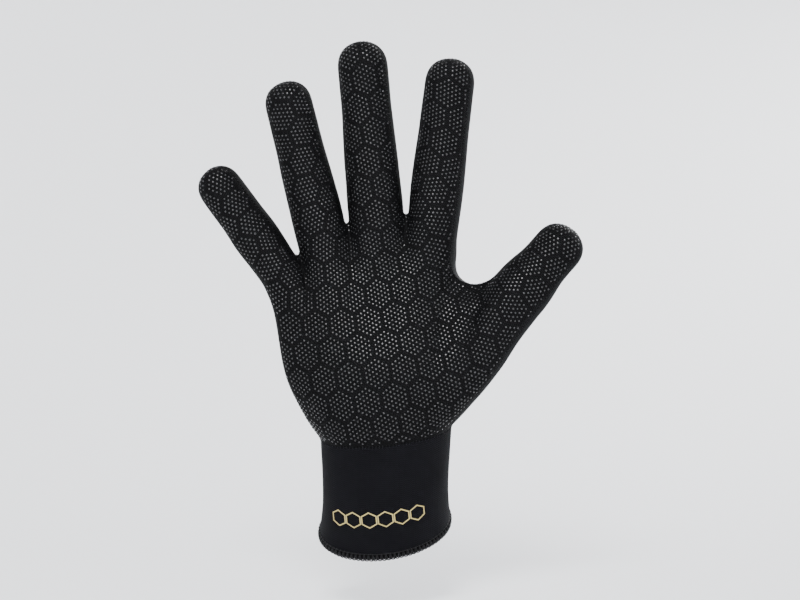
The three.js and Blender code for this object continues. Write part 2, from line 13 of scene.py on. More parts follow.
import bmesh
import bpy
import numpy as np
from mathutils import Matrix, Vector, noise
from mathutils.kdtree import KDTree


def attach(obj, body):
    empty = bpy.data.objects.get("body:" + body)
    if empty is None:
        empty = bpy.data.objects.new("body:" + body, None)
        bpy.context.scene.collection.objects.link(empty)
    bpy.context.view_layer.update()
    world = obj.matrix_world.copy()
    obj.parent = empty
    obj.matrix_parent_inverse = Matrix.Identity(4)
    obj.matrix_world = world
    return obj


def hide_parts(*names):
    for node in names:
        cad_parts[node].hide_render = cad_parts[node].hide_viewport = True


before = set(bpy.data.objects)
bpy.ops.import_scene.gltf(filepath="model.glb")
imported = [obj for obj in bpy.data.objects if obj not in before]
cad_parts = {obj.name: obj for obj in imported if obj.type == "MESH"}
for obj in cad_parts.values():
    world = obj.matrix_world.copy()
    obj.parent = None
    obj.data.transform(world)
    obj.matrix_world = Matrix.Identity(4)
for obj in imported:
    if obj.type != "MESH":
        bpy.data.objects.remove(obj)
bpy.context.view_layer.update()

MM = 0.001
print("nodes:", ", ".join(sorted(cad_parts)))

# %% [markdown]
# ## Sizes
# Everything is worked out in millimetres, the unit a pattern cutter uses, and goes to metres
# only when a mesh is made. The palm faces -Y, the fingers point up, the thumb lies towards +X,
# and the origin is the middle of the wrist opening.

# %% The cuff and the palm
WALL = 2.5
SEAM_GAP = 0.12
CUFF_LENGTH, CUFF_WAIST, CUFF_ROLL, CUFF_MIDDLE_SHIFT = 56, 3, 6, 1
HEM_WIDTH, HEM_DEPTH, HEM_TILT = 68, 52, 33
WRIST_WIDTH, WRIST_DEPTH, WRIST_TILT = 66.5, 46, 17
PALM_LENGTH, PALM_LEAN, HAND_FORWARD = 107, -2.7, 5
KNUCKLE_DEPTH, INDEX_SIDE_REACH, FINGER_WEB = 26, 4, 2
THUMB_WEB, THUMB_WEB_LEAN, THUMB_WEB_SAG = 27, 134, 12
LITTLE_SIDE_FLARE, THUMB_SIDE_FLARE = 36, 40

# %% The digits
# lean and slope are degrees from upright; root, forward and curl are shares of width or depth;
# palm_to is how far round the digit, in degrees, the palm's cloth reaches on the thumb side
DIGITS = {
    "little": dict(length=59, width=23.4, depth=21, lean=-35.6, slope=-35.8, root=0.93,
                   forward=0.14, curl=0.34, palm_to=52, to_little="little", to_thumb="ring"),
    "ring": dict(length=79, width=25, depth=23, lean=-13.8, slope=-33, root=1.09,
                 forward=0.04, curl=0.38, palm_to=60, to_little="little", to_thumb="middle"),
    "middle": dict(length=87, width=26.6, depth=24, lean=-5.2, slope=-9.1, root=1.05,
                   forward=0, curl=0.36, palm_to=58, to_little="ring", to_thumb="index"),
    "index": dict(length=82.4, width=26.4, depth=24, lean=6.8, slope=24.4, root=1.03,
                  forward=0.03, curl=0.32, palm_to=50, to_little="middle", to_thumb="index"),
    "thumb": dict(length=40.4, width=26.6, depth=25, lean=41.1, slope=41.1, root=1.1,
                  forward=0.34, curl=0.16, palm_to=50, to_little="thumb", to_thumb="thumb"),
}
GIRTH = [
    dict(along=0, width=1, depth=1.1),
    dict(along=0.35, width=1.01, depth=1.02),
    dict(along=0.65, width=0.955, depth=0.97),
    dict(along=1, width=0.935, depth=0.9),
]
CAP, SECTION_POWER, ROOT_BLEND = 0.92, 2.2, 0.4

# Degrees round a digit, and round the wrist, from the middle of the palm side towards the thumb
SEAMS = dict(front_little=-72, back_thumb=118, back_little=235)
WRIST_SEAMS = dict(front_little=-80, front_thumb=58, back_thumb=96, back_little=256)
WRIST_SHARES = dict(digit=1, thumb=1.35, finger_web=0.4, thumb_web=0.6)

# How far out the palm swells, where from wrist to fingers, at which degrees, and how far it spreads
SWELLS = [
    dict(place="heel on the little side", out=0.09, up=0.42, turn=-76, high=0.26, wide=60),
    dict(place="ball of the thumb", out=0.1, up=0.42, turn=40, high=0.26, wide=42),
    dict(place="hollow of the palm", out=-0.07, up=0.62, turn=-4, high=0.24, wide=34),
    dict(place="back over the knuckles", out=0.06, up=0.86, turn=180, high=0.3, wide=60),
]
WRIST_PULL, ROOT_PULL, THUMB_WEB_FULL, SMOOTH_UNTIL, PALM_POWER = 0.85, 0.75, 2, 0.66, 3
WEB_DIP, WEB_PINCH, THUMB_WEB_PINCH, RIDGE_TURN, SWELL_FADE = 0.2, 0.3, 0.5, 2.5, 0.14

# %% How fine the skin is
DIGIT_COLUMNS, SIDE_COLUMNS, WEB_COLUMNS, THUMB_WEB_COLUMNS = 12, 8, 5, 14
PALM_ROWS, KNUCKLE_ROWS, KNUCKLE_START, CUFF_ROWS = 46, 10, 0.84, 34
TUBE_ROW = 1.8
CAP_TURNS = list(range(9, 82, 9)) + [86]
print("digits:", {name: digit["length"] for name, digit in DIGITS.items()})

# %% [markdown]
# ## Small helpers
# A glove is mostly smooth curves between a few known places. A Hermite curve suits that: it takes
# two places and the direction at each of them, and it never needs handles set by eye.


# %% Curves and directions
def sin(degrees):
    return math.sin(math.radians(degrees))


def cos(degrees):
    return math.cos(math.radians(degrees))


def lerp(a, b, share):
    return a + (b - a) * share


def smoothstep(value, low, high):
    share = min(max((value - low) / (high - low), 0), 1)
    return share * share * (3 - 2 * share)


def evenly(start, end, parts):
    return [lerp(start, end, i / parts) for i in range(parts + 1)]


def pointing(lean):
    return Vector((sin(lean), 0, cos(lean)))


def across(lean):
    return Vector((cos(lean), 0, -sin(lean)))


def hermite(start, leaving, end, arriving, t):
    s = 1 - t
    places = start * (s * s * (1 + 2 * t)) + end * (t * t * (3 - 2 * t))
    return places + leaving * (t * s * s) - arriving * (t * t * s)


def profile(rows, column, along):
    """A table's column at any height, smooth from row to row."""
    last = len(rows) - 2
    i = next((k for k in range(last + 1) if along <= rows[k + 1]["along"]), last)

    def slope(k):
        before, after = rows[max(k - 1, 0)], rows[min(k + 1, len(rows) - 1)]
        return (after[column] - before[column]) / (after["along"] - before["along"])

    span = rows[i + 1]["along"] - rows[i]["along"]
    t = (along - rows[i]["along"]) / span
    return hermite(rows[i][column], slope(i) * span, rows[i + 1][column], slope(i + 1) * span, t)


print("girth half way up a digit:", round(profile(GIRTH, "width", 0.5), 3))

# %% [markdown]
# ## The form of the hand
# The cuff is a stack of tilted ovals. The finger roots are a chain to both sides of the middle
# finger, as on a hand, so a change of one finger moves its neighbours and the thumb with it.


# %% Rings of the cuff
def cuff_tilt(up):
    return lerp(HEM_TILT, WRIST_TILT, up)


@lru_cache(maxsize=None)
def cuff_middle(up):
    steps = 24
    middle = Vector((CUFF_MIDDLE_SHIFT * up, 0, 0))
    for i in range(steps):
        tilt = cuff_tilt(up * (i + 0.5) / steps)
        middle += Vector((0, -sin(tilt), cos(tilt))) * (CUFF_LENGTH * up / steps)
    return middle


def cuff_point(up, turn):
    waist = CUFF_WAIST * math.sin(math.pi * max(up, 0) ** 0.8)
    width = lerp(HEM_WIDTH, WRIST_WIDTH, up) - waist
    depth = lerp(HEM_DEPTH, WRIST_DEPTH, up) - waist
    tilt = cuff_tilt(up)
    side = Vector((cos(CUFF_ROLL), 0, sin(CUFF_ROLL))) * (width / 2 * sin(turn))
    front = Vector((0, -cos(tilt), -sin(tilt))) * (depth / 2 * cos(turn))
    return cuff_middle(up) + side + front


# %% The chain of digit roots
wrist_middle = cuff_middle(1)
hand_plane = wrist_middle.y - HAND_FORWARD


def place_digit(name, centre):
    digit = DIGITS[name]
    digit["root_width"] = digit["width"] * digit["root"]
    digit["centre"] = Vector((centre.x, hand_plane - digit["forward"] * digit["depth"], centre.z))


def root_end(name, side):
    digit = DIGITS[name]
    return digit["centre"] + across(digit["slope"]) * (side * digit["root_width"] / 2)


def place_beside(name, neighbour, side):
    digit = DIGITS[name]
    web_slope = (digit["slope"] + DIGITS[neighbour]["slope"]) / 2
    half_root = digit["width"] * digit["root"] / 2
    centre = root_end(neighbour, side) + across(web_slope) * (side * FINGER_WEB)
    place_digit(name, centre + across(digit["slope"]) * (side * half_root))


place_digit("middle", wrist_middle + pointing(PALM_LEAN) * PALM_LENGTH)
place_beside("ring", "middle", -1)
place_beside("little", "ring", -1)
place_beside("index", "middle", 1)
thumb = DIGITS["thumb"]
thumb_start = root_end("index", 1) + pointing(THUMB_WEB_LEAN) * THUMB_WEB
place_digit("thumb", thumb_start + across(thumb["slope"]) * (thumb["width"] * thumb["root"] / 2))
print("roots:", {name: [round(v, 1) for v in d["centre"]] for name, d in DIGITS.items()})


# %% A point of a digit's skin
def digit_point(name, along, turn):
    digit = DIGITS[name]
    cap = CAP * digit["width"] / 2
    tube = digit["length"] - cap
    share = min(along / tube, 1)
    square = smoothstep(along, 0, ROOT_BLEND * digit["length"])
    width = lerp(digit["root_width"], digit["width"] * profile(GIRTH, "width", share), square)
    depth = digit["depth"] * profile(GIRTH, "depth", share)
    over_cap = min(max((along - tube) / cap, 0), 1)
    rounding = (1 - over_cap**SECTION_POWER) ** (1 / SECTION_POWER)

    def bow(value):
        return math.copysign(abs(value) ** (2 / SECTION_POWER), value)

    curl = digit["curl"] * digit["depth"] * (along / digit["length"]) ** 2
    point = digit["centre"] + pointing(digit["lean"]) * along
    point += across(lerp(digit["slope"], digit["lean"], square)) * (width / 2 * rounding * bow(sin(turn)))
    point.y -= curl + depth / 2 * rounding * bow(cos(turn))
    return point


# %% [markdown]
# ## Strands up the palm and the back
# From the wrist seam the skin runs up in strands, one to each place on a digit's root or on the
# web between two digits. Low down every strand keeps to one smooth form for the whole palm. Only
# near the top does it turn to its own finger, which keeps the palm free of false grooves.


# %% Where a strand runs
def swell(up, turn):
    total = 0
    for place in SWELLS:
        away = (turn - place["turn"] + 180) % 360 - 180
        spread = ((up - place["up"]) / place["high"]) ** 2 + (away / place["wide"]) ** 2
        total += place["out"] * WRIST_DEPTH * math.exp(-spread)
    return total


def on_palm_form(point, plane, facing):
    left, right = root_end("little", -1).x, root_end("index", 1).x + INDEX_SIDE_REACH
    place = min(abs(2 * (point.x - left) / (right - left) - 1), 1)
    depth = KNUCKLE_DEPTH * (1 - place**PALM_POWER) ** (1 / PALM_POWER)
    return Vector((point.x, plane - math.copysign(depth, facing) / 2, point.z))


def strand(wrist_turn, end, flat, lean, over=Vector()):
    """A curve up the skin as a function of its height, 0 at the wrist seam and 1 at its end."""
    start = cuff_point(1, wrist_turn)
    side = sin(wrist_turn)
    flare = side * (THUMB_SIDE_FLARE if side > 0 else LITTLE_SIDE_FLARE)
    tilt = cuff_tilt(1)
    leaving = Vector((0, -sin(tilt), cos(tilt))) * cos(flare) + across(0) * sin(flare)
    reach = (end - start).length
    leaving = leaving * (reach * WRIST_PULL)
    straight = pointing(lean) * (reach * ROOT_PULL)
    outward = Vector((side, -cos(wrist_turn), 0))

    def at(up):
        formed = hermite(start, leaving, end, straight + over, up)
        smooth = hermite(start, leaving, flat, straight, up)
        fade = smoothstep(up, 0, SWELL_FADE) * (1 - smoothstep(up, 1 - SWELL_FADE, 1))
        point = smooth.lerp(formed, smoothstep(up, SMOOTH_UNTIL, 1))
        return point + outward * (swell(up, wrist_turn) * fade)

    return at


def digit_strand(name, turn, wrist_turn):
    digit = DIGITS[name]
    end = digit_point(name, 0, turn)
    flat = end if name == "thumb" else on_palm_form(end, digit["centre"].y, cos(turn))
    beside = DIGITS[digit["to_thumb" if sin(turn) > 0 else "to_little"]]
    lean = lerp(digit["lean"], beside["lean"], abs(sin(turn)) / 2)
    return strand(wrist_turn, end, flat, lean)


# %% The stretches of skin round the wrist
NAMES = list(DIGITS)
WEBS = list(zip(NAMES, NAMES[1:]))
STRETCHES = [NAMES[0]] + [part for web in WEBS for part in (web, web[1])]


def has_thumb(stretch):
    return stretch == "thumb" or "thumb" in stretch[1:]


def wrist_turns(stretches, start, end):
    """The degrees round the wrist at which the strands of each stretch begin."""
    def share(stretch):
        kind = "digit" if isinstance(stretch, str) else "finger_web"
        if has_thumb(stretch):
            kind = "thumb" if kind == "digit" else "thumb_web"
        return WRIST_SHARES[kind]

    total, passed, turns = sum(map(share, stretches)), 0, {}
    for stretch in stretches:
        ends = [lerp(start, end, (passed + part) / total) for part in (0, share(stretch))]
        passed += share(stretch)
        if isinstance(stretch, str):
            turns[stretch] = evenly(*ends, DIGIT_COLUMNS)
        else:
            columns = THUMB_WEB_COLUMNS if has_thumb(stretch) else WEB_COLUMNS
            turns[stretch] = evenly(*ends, columns)[1:-1]
    return turns


palm_starts = wrist_turns(STRETCHES, WRIST_SEAMS["front_little"], WRIST_SEAMS["front_thumb"])
back_starts = wrist_turns(STRETCHES[::-1], WRIST_SEAMS["back_thumb"], WRIST_SEAMS["back_little"])
palm_turns = {n: evenly(SEAMS["front_little"], d["palm_to"], DIGIT_COLUMNS) for n, d in DIGITS.items()}
back_turns = evenly(SEAMS["back_thumb"], SEAMS["back_little"], DIGIT_COLUMNS)
# From the palm's edge to the back's edge over either side of a digit, and at the wrist
little_side = evenly(SEAMS["front_little"], SEAMS["back_little"] - 360, SIDE_COLUMNS)
side_turns = {
    name: {"thumb": evenly(d["palm_to"], SEAMS["back_thumb"], SIDE_COLUMNS), "little": little_side}
    for name, d in DIGITS.items()
}
side_starts = {
    "thumb": evenly(WRIST_SEAMS["front_thumb"], WRIST_SEAMS["back_thumb"], SIDE_COLUMNS),
    "little": evenly(WRIST_SEAMS["front_little"], WRIST_SEAMS["back_little"] - 360, SIDE_COLUMNS),
}


# %% Webs between the digits
def side_of_root(name, side, j):
    return digit_point(name, 0, side_turns[name][side][j])


index_edges = (
    digit_strand("index", DIGITS["index"]["palm_to"], palm_starts["index"][-1]),
    digit_strand("index", SEAMS["back_thumb"], back_starts["index"][0]),
)


def side_of_index(up, j):
    """The index finger's side beside the thumb web, where that web leaves it below its root."""
    share = j / SIDE_COLUMNS
    at_root = [side_of_root("index", "thumb", k) for k in (0, j, SIDE_COLUMNS)]
    bulge = at_root[1] - at_root[0].lerp(at_root[2], share)
    return index_edges[0](up).lerp(index_edges[1](up), share) + bulge


def web_ends(web, j):
    thumb_web = has_thumb(web)
    left = side_of_index(KNUCKLE_START, j) if thumb_web else side_of_root(web[0], "thumb", j)
    return left, side_of_root(web[1], "little", j)


def web_curve(web, j, share):
    left, right = web_ends(web, j)
    if has_thumb(web):
        below, beside = (p - pointing(DIGITS[n]["lean"]) * THUMB_WEB_SAG for p, n in zip((left, right), web))
        rest = 1 - share
        outer = left * rest**3 + right * share**3
        return outer + below * (3 * rest * rest * share) + beside * (3 * rest * share * share)
    lean = (DIGITS[web[0]]["lean"] + DIGITS[web[1]]["lean"]) / 2
    hang = 4 * share * (1 - share) * WEB_DIP * FINGER_WEB
    return left.lerp(right, share) - pointing(lean) * hang


def web_point(web, j, share):
    """A web's skin: j runs over its ridge from the palm to the back, share from digit to digit."""
    ridge = web_curve(web, SIDE_COLUMNS // 2, share)
    over = 1 - 2 * j / SIDE_COLUMNS
    pinch = (THUMB_WEB_PINCH if has_thumb(web) else WEB_PINCH) * (1 if over > 0 else 0.5)
    between = (4 * share * (1 - share)) ** 0.4
    return web_curve(web, j, share).lerp(ridge, pinch * abs(over) * between)


def web_strand(web, j, share, wrist_turn):
    end = web_point(web, j, share)
    ridge = web_point(web, SIDE_COLUMNS // 2, share)
    first, second = (DIGITS[name] for name in web)
    facing = 1 if j == 0 else -1
    if has_thumb(web):
        left, right = web_ends(web, j)
        flat = left.lerp(right, share) + Vector((0, -facing * THUMB_WEB_FULL, 0))
    else:
        flat = on_palm_form(end, lerp(first["centre"].y, second["centre"].y, share), facing)
    lean = lerp(first["lean"], second["lean"], share)
    return strand(wrist_turn, end, flat, lean, (ridge - end) * RIDGE_TURN)


# %% [markdown]
# ## One skin, cut along its seams
# The whole skin is one net of four-sided faces. Each face knows which panel it is cut from, so
# neighbouring panels meet along exactly the same line, as two edges under a seam do.

# %% Build the skin
points, faces = [], []


def add_point(point):
    points.append(point)
    return len(points) - 1


def add_strips(panel, lines):
    """Lines of points side by side, the left one first as seen from outside."""
    for left, right in zip(lines, lines[1:]):
        for row in range(min(len(left), len(right)) - 1):
            corners = [left[row], right[row], right[row + 1], left[row + 1]]
            kept = [c for i, c in enumerate(corners) if c != corners[(i + 1) % 4]]
            faces.append((panel, kept))


thumb_rows = evenly(0, 1, PALM_ROWS)
finger_rows = evenly(0, KNUCKLE_START, PALM_ROWS) + evenly(KNUCKLE_START, 1, KNUCKLE_ROWS)[1:]
cuff_lines = []


def add_strand(at, wrist_turn, rows):
    cuff_line = [add_point(cuff_point(up, wrist_turn)) for up in evenly(0, 1, CUFF_ROWS)]
    cuff_lines.append(cuff_line)
    return [cuff_line[-1]] + [add_point(at(up)) for up in rows[1:]]


def add_stretch(stretch, starts, turns, edge):
    rows = thumb_rows if has_thumb(stretch) else finger_rows
    lines = []
    for i, start in enumerate(starts):
        share = (i + 1) / (len(starts) + 1)
        if isinstance(stretch, str):
            at = digit_strand(stretch, turns[i], start)
        else:
            at = web_strand(stretch, edge, share if edge == 0 else 1 - share, start)
        lines.append(add_strand(at, start, rows))
    return lines


palm_lines = {s: add_stretch(s, palm_starts[s], palm_turns.get(s), 0) for s in STRETCHES}
inner_sides = range(1, SIDE_COLUMNS)
thumb_outer = [
    add_strand(digit_strand("thumb", side_turns["thumb"]["thumb"][j], side_starts["thumb"][j]),
               side_starts["thumb"][j], thumb_rows) for j in inner_sides]
back_lines = {s: add_stretch(s, back_starts[s], back_turns, SIDE_COLUMNS) for s in STRETCHES[::-1]}
little_outer = [
    add_strand(digit_strand("little", side_turns["little"]["little"][j], side_starts["little"][j]),
               side_starts["little"][j], finger_rows) for j in inner_sides]
all_palm = [line for lines in palm_lines.values() for line in lines]
all_back = [line for lines in back_lines.values() for line in lines]
add_strips("palm", all_palm)
add_strips("back", [all_palm[-1], *thumb_outer, *all_back, *little_outer[::-1], all_palm[0]])
# The strands were added in the order in which they stand round the wrist, apart from the last ones
round_cuff = cuff_lines[: len(cuff_lines) - len(little_outer)] + cuff_lines[: -len(little_outer) - 1 : -1]
add_strips("cuff", round_cuff + [round_cuff[0]])
print(len(points), "points below the fingers")

# %% Sides of the roots, webs and digits
index_side = [[add_point(side_of_index(up, j)) for up in finger_rows[PALM_ROWS:]] for j in inner_sides]
palm_edge, back_edge = palm_lines["index"][-1], back_lines["index"][0]
add_strips("back", [palm_edge[PALM_ROWS:], *index_side, back_edge[PALM_ROWS:]])

root_side = {
    (name, side): [add_point(side_of_root(name, side, j)) for j in inner_sides]
    for name in NAMES for side in ("thumb", "little")
    if (name, side) not in (("little", "little"), ("thumb", "thumb"), ("index", "thumb"))}
root_side["little", "little"] = [line[-1] for line in little_outer]
root_side["thumb", "thumb"] = [line[-1] for line in thumb_outer]
root_side["index", "thumb"] = [line[-1] for line in index_side]
panel_of_side = {("thumb", "thumb"): "back", ("little", "little"): "back"}
for web in WEBS:
    panel = "back" if has_thumb(web) else "strip_" + "_".join(web)
    panel_of_side[web[0], "thumb"] = panel_of_side[web[1], "little"] = panel
    palm_tops = [line[-1] for line in palm_lines[web]]
    back_tops = [line[-1] for line in back_lines[web]][::-1]
    lines = []
    for k, (palm_top, back_top) in enumerate(zip(palm_tops, back_tops)):
        share = (k + 1) / (len(palm_tops) + 1)
        lines.append([palm_top] + [add_point(web_point(web, j, share)) for j in inner_sides] + [back_top])
    row = PALM_ROWS if has_thumb(web) else -1
    middle = [line[0] for line in index_side] if has_thumb(web) else root_side[web[0], "thumb"]
    left = [palm_lines[web[0]][-1][row], *middle, back_lines[web[0]][0][row]]
    right = [palm_lines[web[1]][0][-1], *root_side[web[1], "little"], back_lines[web[1]][-1][-1]]
    add_strips(panel, [left, *lines, right])

for name, digit in DIGITS.items():
    cap = CAP * digit["width"] / 2
    tube = digit["length"] - cap
    heights = evenly(0, tube, math.ceil(tube / TUBE_ROW))[1:] + [tube + cap * sin(t) for t in CAP_TURNS]
    sides = side_turns[name]
    around = palm_turns[name] + sides["thumb"][1:-1] + back_turns + sides["little"][-2:0:-1]
    root = [line[-1] for line in palm_lines[name]] + root_side[name, "thumb"]
    root += [line[-1] for line in back_lines[name]] + root_side[name, "little"][::-1]
    rings = [[add_point(digit_point(name, along, turn)) for turn in around] for along in heights]
    tip = add_point(digit_point(name, digit["length"], 0))
    columns = [[root[i], *(ring[i] for ring in rings), tip] for i in range(len(around))]
    columns.append(columns[0])
    back_from = DIGIT_COLUMNS + SIDE_COLUMNS
    add_strips("palm", columns[: DIGIT_COLUMNS + 1])
    add_strips(panel_of_side[name, "thumb"], columns[DIGIT_COLUMNS: back_from + 1])
    add_strips("back", columns[back_from: back_from + DIGIT_COLUMNS + 1])
    add_strips(panel_of_side[name, "little"], columns[back_from + DIGIT_COLUMNS:])
skin = np.array([tuple(point) for point in points])
print(len(skin), "points and", len(faces), "faces in the skin")

# %% [markdown]
# ## Let the skin settle
# Foam rubber has no sharp inner corners: it stretches into soft curves between the fingers. A
# Taubin filter does that to the net. It smooths and then pushes back by nearly as much, so the
# creases go and the fingers keep their girth. A slow noise then adds the unevenness of cloth.

# %% Smooth and ripple
SETTLING_ROUNDS, SHRINK, REGAIN = 26, 0.5, -0.52
RIPPLE, RIPPLE_LENGTH = 0.3, 17
links = {tuple(sorted(pair)) for _, loop in faces for pair in zip(loop, loop[1:] + loop[:1])}
links = np.array(sorted(links))
link_count = np.bincount(links.ravel(), minlength=len(skin))[:, None]
held = np.zeros((len(skin), 1), bool)
held[[line[0] for line in cuff_lines]] = True


def settle(net, share):
    pull = np.zeros_like(net)
    np.add.at(pull, links[:, 0], net[links[:, 1]])
    np.add.at(pull, links[:, 1], net[links[:, 0]])
    return np.where(held, net, net + share * (pull / link_count - net))


for _ in range(SETTLING_ROUNDS):
    skin = settle(settle(skin, SHRINK), REGAIN)


def face_normals(net):
    corners = np.array([loop if len(loop) == 4 else loop + loop[:1] for _, loop in faces])
    return np.cross(net[corners[:, 2]] - net[corners[:, 0]], net[corners[:, 3]] - net[corners[:, 1]])


def point_normals(net):
    normals = np.zeros_like(net)
    for (_, loop), normal in zip(faces, face_normals(net)):
        normals[loop] += normal
    return normals / np.linalg.norm(normals, axis=1, keepdims=True)


ripple = np.array([noise.noise(Vector(p) / RIPPLE_LENGTH) for p in skin])[:, None] * RIPPLE
skin = skin + point_normals(skin) * np.where(held, 0, ripple)
skin_normals = point_normals(skin)
print("skin reaches from", skin.min(axis=0).round(1), "to", skin.max(axis=0).round(1))


# %% [markdown]
# ## Panels
# Each panel is cut out of the skin and drawn in a hair's breadth at its edges, so that a seam
# shows as a fine line. Unwrapping lays the panel flat. The result is turned and scaled until it
# measures in metres with its fingers up, which gives knit and print the cloth's own coordinates.

# %% Cut a panel out of the skin
def panel_border(loops, normals):
    """Edges with one face of the panel only, each with the way that leads inwards."""
    open_edges = {}
    for loop, normal in zip(loops, normals):
        for start, end in zip(loop, loop[1:] + loop[:1]):
            if open_edges.pop((end, start), None) is None:
                inside = np.cross(normal, skin[end] - skin[start])
                open_edges[start, end] = inside / np.linalg.norm(inside)
    return open_edges


def mesh_object(name, vertices, loops):
    mesh = bpy.data.meshes.new(name)
    mesh.from_pydata([tuple(v) for v in vertices], [], loops)
    obj = bpy.data.objects.new(name, mesh)
    bpy.context.scene.collection.objects.link(obj)
    return obj


def lay_flat(sheet, facing, seam_edges=()):
    """Unwraps a sheet and scales the result to metres, +V up the hand. Gives its UV layer's array."""
    bpy.context.view_layer.objects.active = sheet
    bpy.ops.object.select_all(action="DESELECT")
    sheet.select_set(True)
    for edge in sheet.data.edges:
        edge.use_seam = tuple(sorted(edge.vertices)) in seam_edges
    layer = sheet.data.uv_layers.new(name="cloth")
    bpy.ops.object.mode_set(mode="EDIT")
    bpy.ops.mesh.select_all(action="SELECT")
    bpy.ops.uv.unwrap(method="MINIMUM_STRETCH", iterations=30, margin=0)
    bpy.ops.object.mode_set(mode="OBJECT")
    layer = sheet.data.uv_layers["cloth"]
    flat = np.zeros(len(layer.uv) * 2)
    layer.uv.foreach_get("vector", flat)
    flat = flat[0::2] + 1j * flat[1::2]
    corners = np.zeros(len(sheet.data.loops), int)
    sheet.data.loops.foreach_get("vertex_index", corners)
    place = np.array([tuple(v.co) for v in sheet.data.vertices])[corners]
    normal = np.array([tuple(v.normal) for v in sheet.data.vertices])[corners]
    seen = normal @ facing > 0.8
    target = place @ np.cross((0, 0, 1), facing) + 1j * place[:, 2]
    centre = target[seen].mean()
    spread = flat[seen] - flat[seen].mean()
    turn = np.conj(spread) @ (target[seen] - centre)
    turn *= flat_scale(sheet, flat) / abs(turn)
    flat = turn * (flat - flat[seen].mean()) + centre
    layer.uv.foreach_set("vector", np.column_stack([flat.real, flat.imag]).ravel().astype(np.float32))
    return flat


def flat_scale(sheet, flat):
    """Makes the flat panel's area that of the curved one."""
    area = 0
    for face in sheet.data.polygons:
        loop = flat[face.loop_start: face.loop_start + face.loop_total]
        area += abs((np.conj(loop) * np.roll(loop, -1)).imag.sum()) / 2
    return math.sqrt(sum(face.area for face in sheet.data.polygons) / area)


def cut_panel(name, facing, seam_edges=()):
    """The panel's outer sheet, and a solid of it with the cloth's thickness."""
    chosen = [i for i, (panel, _) in enumerate(faces) if panel == name]
    loops = [faces[i][1] for i in chosen]
    border = panel_border(loops, face_normals(skin)[chosen])
    used = sorted({corner for loop in loops for corner in loop})
    place = {corner: i for i, corner in enumerate(used)}
    outer = skin[used].copy()
    ways = {}
    for (start, end), inside in border.items():
        ways.setdefault(start, []).append(inside)
        ways.setdefault(end, []).append(inside)
    for corner, several in ways.items():
        total = np.sum(several, axis=0)
        outer[place[corner]] += total * (SEAM_GAP / 2 / max(total @ several[0], 0.3))
    inner = outer - skin_normals[used] * WALL
    near = [[place[c] for c in loop] for loop in loops]
    sheet = mesh_object(name + "_sheet", outer * MM, near)
    marked = {tuple(sorted((place[a], place[b]))) for a, b in seam_edges}
    flat = lay_flat(sheet, facing, marked)
    count = len(used)
    far = [[c + count for c in loop[::-1]] for loop in near]
    rims = [[place[b], place[a], place[a] + count, place[b] + count] for a, b in border]
    solid = mesh_object(name + "_cloth", np.vstack([outer, inner]) * MM, near + far + rims)
    keep_flat_places(solid, near, flat, len(rims), border, place)
    edge_distance(sheet, [place[corner] for corner in ways])
    return sheet, solid


# %% Carry the flat places over to the solid
def keep_flat_places(solid, near, flat, rim_count, border, place):
    starts = np.cumsum([0] + [len(loop) for loop in near])
    forward = [list(flat[a:b]) for a, b in zip(starts, starts[1:])]
    at_corner = {
        corner: flat[start + k] for loop, start in zip(near, starts) for k, corner in enumerate(loop)}
    rims = [[at_corner[place[b]], at_corner[place[a]]] for a, b in border]
    rims = [[end, start, start, end] for end, start in rims]
    whole = sum(forward, []) + sum((loop[::-1] for loop in forward), []) + sum(rims, [])
    whole = np.array(whole)
    layer = solid.data.uv_layers.new(name="cloth")
    layer.uv.foreach_set("vector", np.column_stack([whole.real, whole.imag]).ravel().astype(np.float32))
    solid.data.shade_smooth()
    lining = np.zeros(len(solid.data.polygons), np.int32)
    lining[len(near): 2 * len(near)] = 1
    solid.data.polygons.foreach_set("material_index", lining)


def edge_distance(sheet, border):
    """How far each point of the sheet lies from its edge, in metres, as an attribute."""
    tree = KDTree(len(border))
    for corner in border:
        tree.insert(sheet.data.vertices[corner].co, corner)
    tree.balance()
    away = sheet.data.attributes.new("from_edge", "FLOAT", "POINT")
    away.data.foreach_set("value", [tree.find(v.co)[2] for v in sheet.data.vertices])


FRONT, BACK, SIDE = np.array((0, -1, 0)), np.array((0, 1, 0)), np.array((1, 0, 0))
back_line = round_cuff[len(round_cuff) * 5 // 8]
cuff_cut = set(zip(back_line, back_line[1:]))
panels = {"palm": cut_panel("palm", FRONT), "back": cut_panel("back", BACK),
          "cuff": cut_panel("cuff", FRONT, cuff_cut)}
for web in WEBS[:-1]:
    panels["strip_" + "_".join(web)] = cut_panel("strip_" + "_".join(web), SIDE)
for name, (sheet, solid) in panels.items():
    print(name, len(sheet.data.polygons), "faces on its outside")

# %% [markdown]
# ## Finishes
# Neoprene for gloves is faced with a fine jersey, whose stitches stand in columns of small V
# shapes. The V pattern is made of waves on the cloth's own coordinates, so it turns with each
# panel. It goes to bump and, weakly, to colour. A bitmap would do too, but would blur close up.


# %% Node helper
def add_node(tree, kind, inputs=None, **settings):
    """A new node with its settings, whose inputs are values or sockets of other nodes."""
    node = tree.nodes.new(kind)
    for key, value in settings.items():
        setattr(node, key, value)
    for key, value in (inputs or {}).items():
        if isinstance(value, bpy.types.NodeSocket):
            tree.links.new(value, node.inputs[key])
        else:
            node.inputs[key].default_value = value
    return node


def calculate(tree, operation, a, b=0.0, c=0.0):
    node = add_node(tree, "ShaderNodeMath", {0: a, 1: b, 2: c}, operation=operation)
    return node.outputs[0]


def between_colours(tree, share, dark, light):
    mixed = add_node(tree, "ShaderNodeMix", {"Factor": share}, data_type="RGBA")
    colours = [socket for socket in mixed.inputs if socket.type == "RGBA"]
    colours[0].default_value, colours[1].default_value = (*dark, 1), (*light, 1)
    return next(socket for socket in mixed.outputs if socket.type == "RGBA")


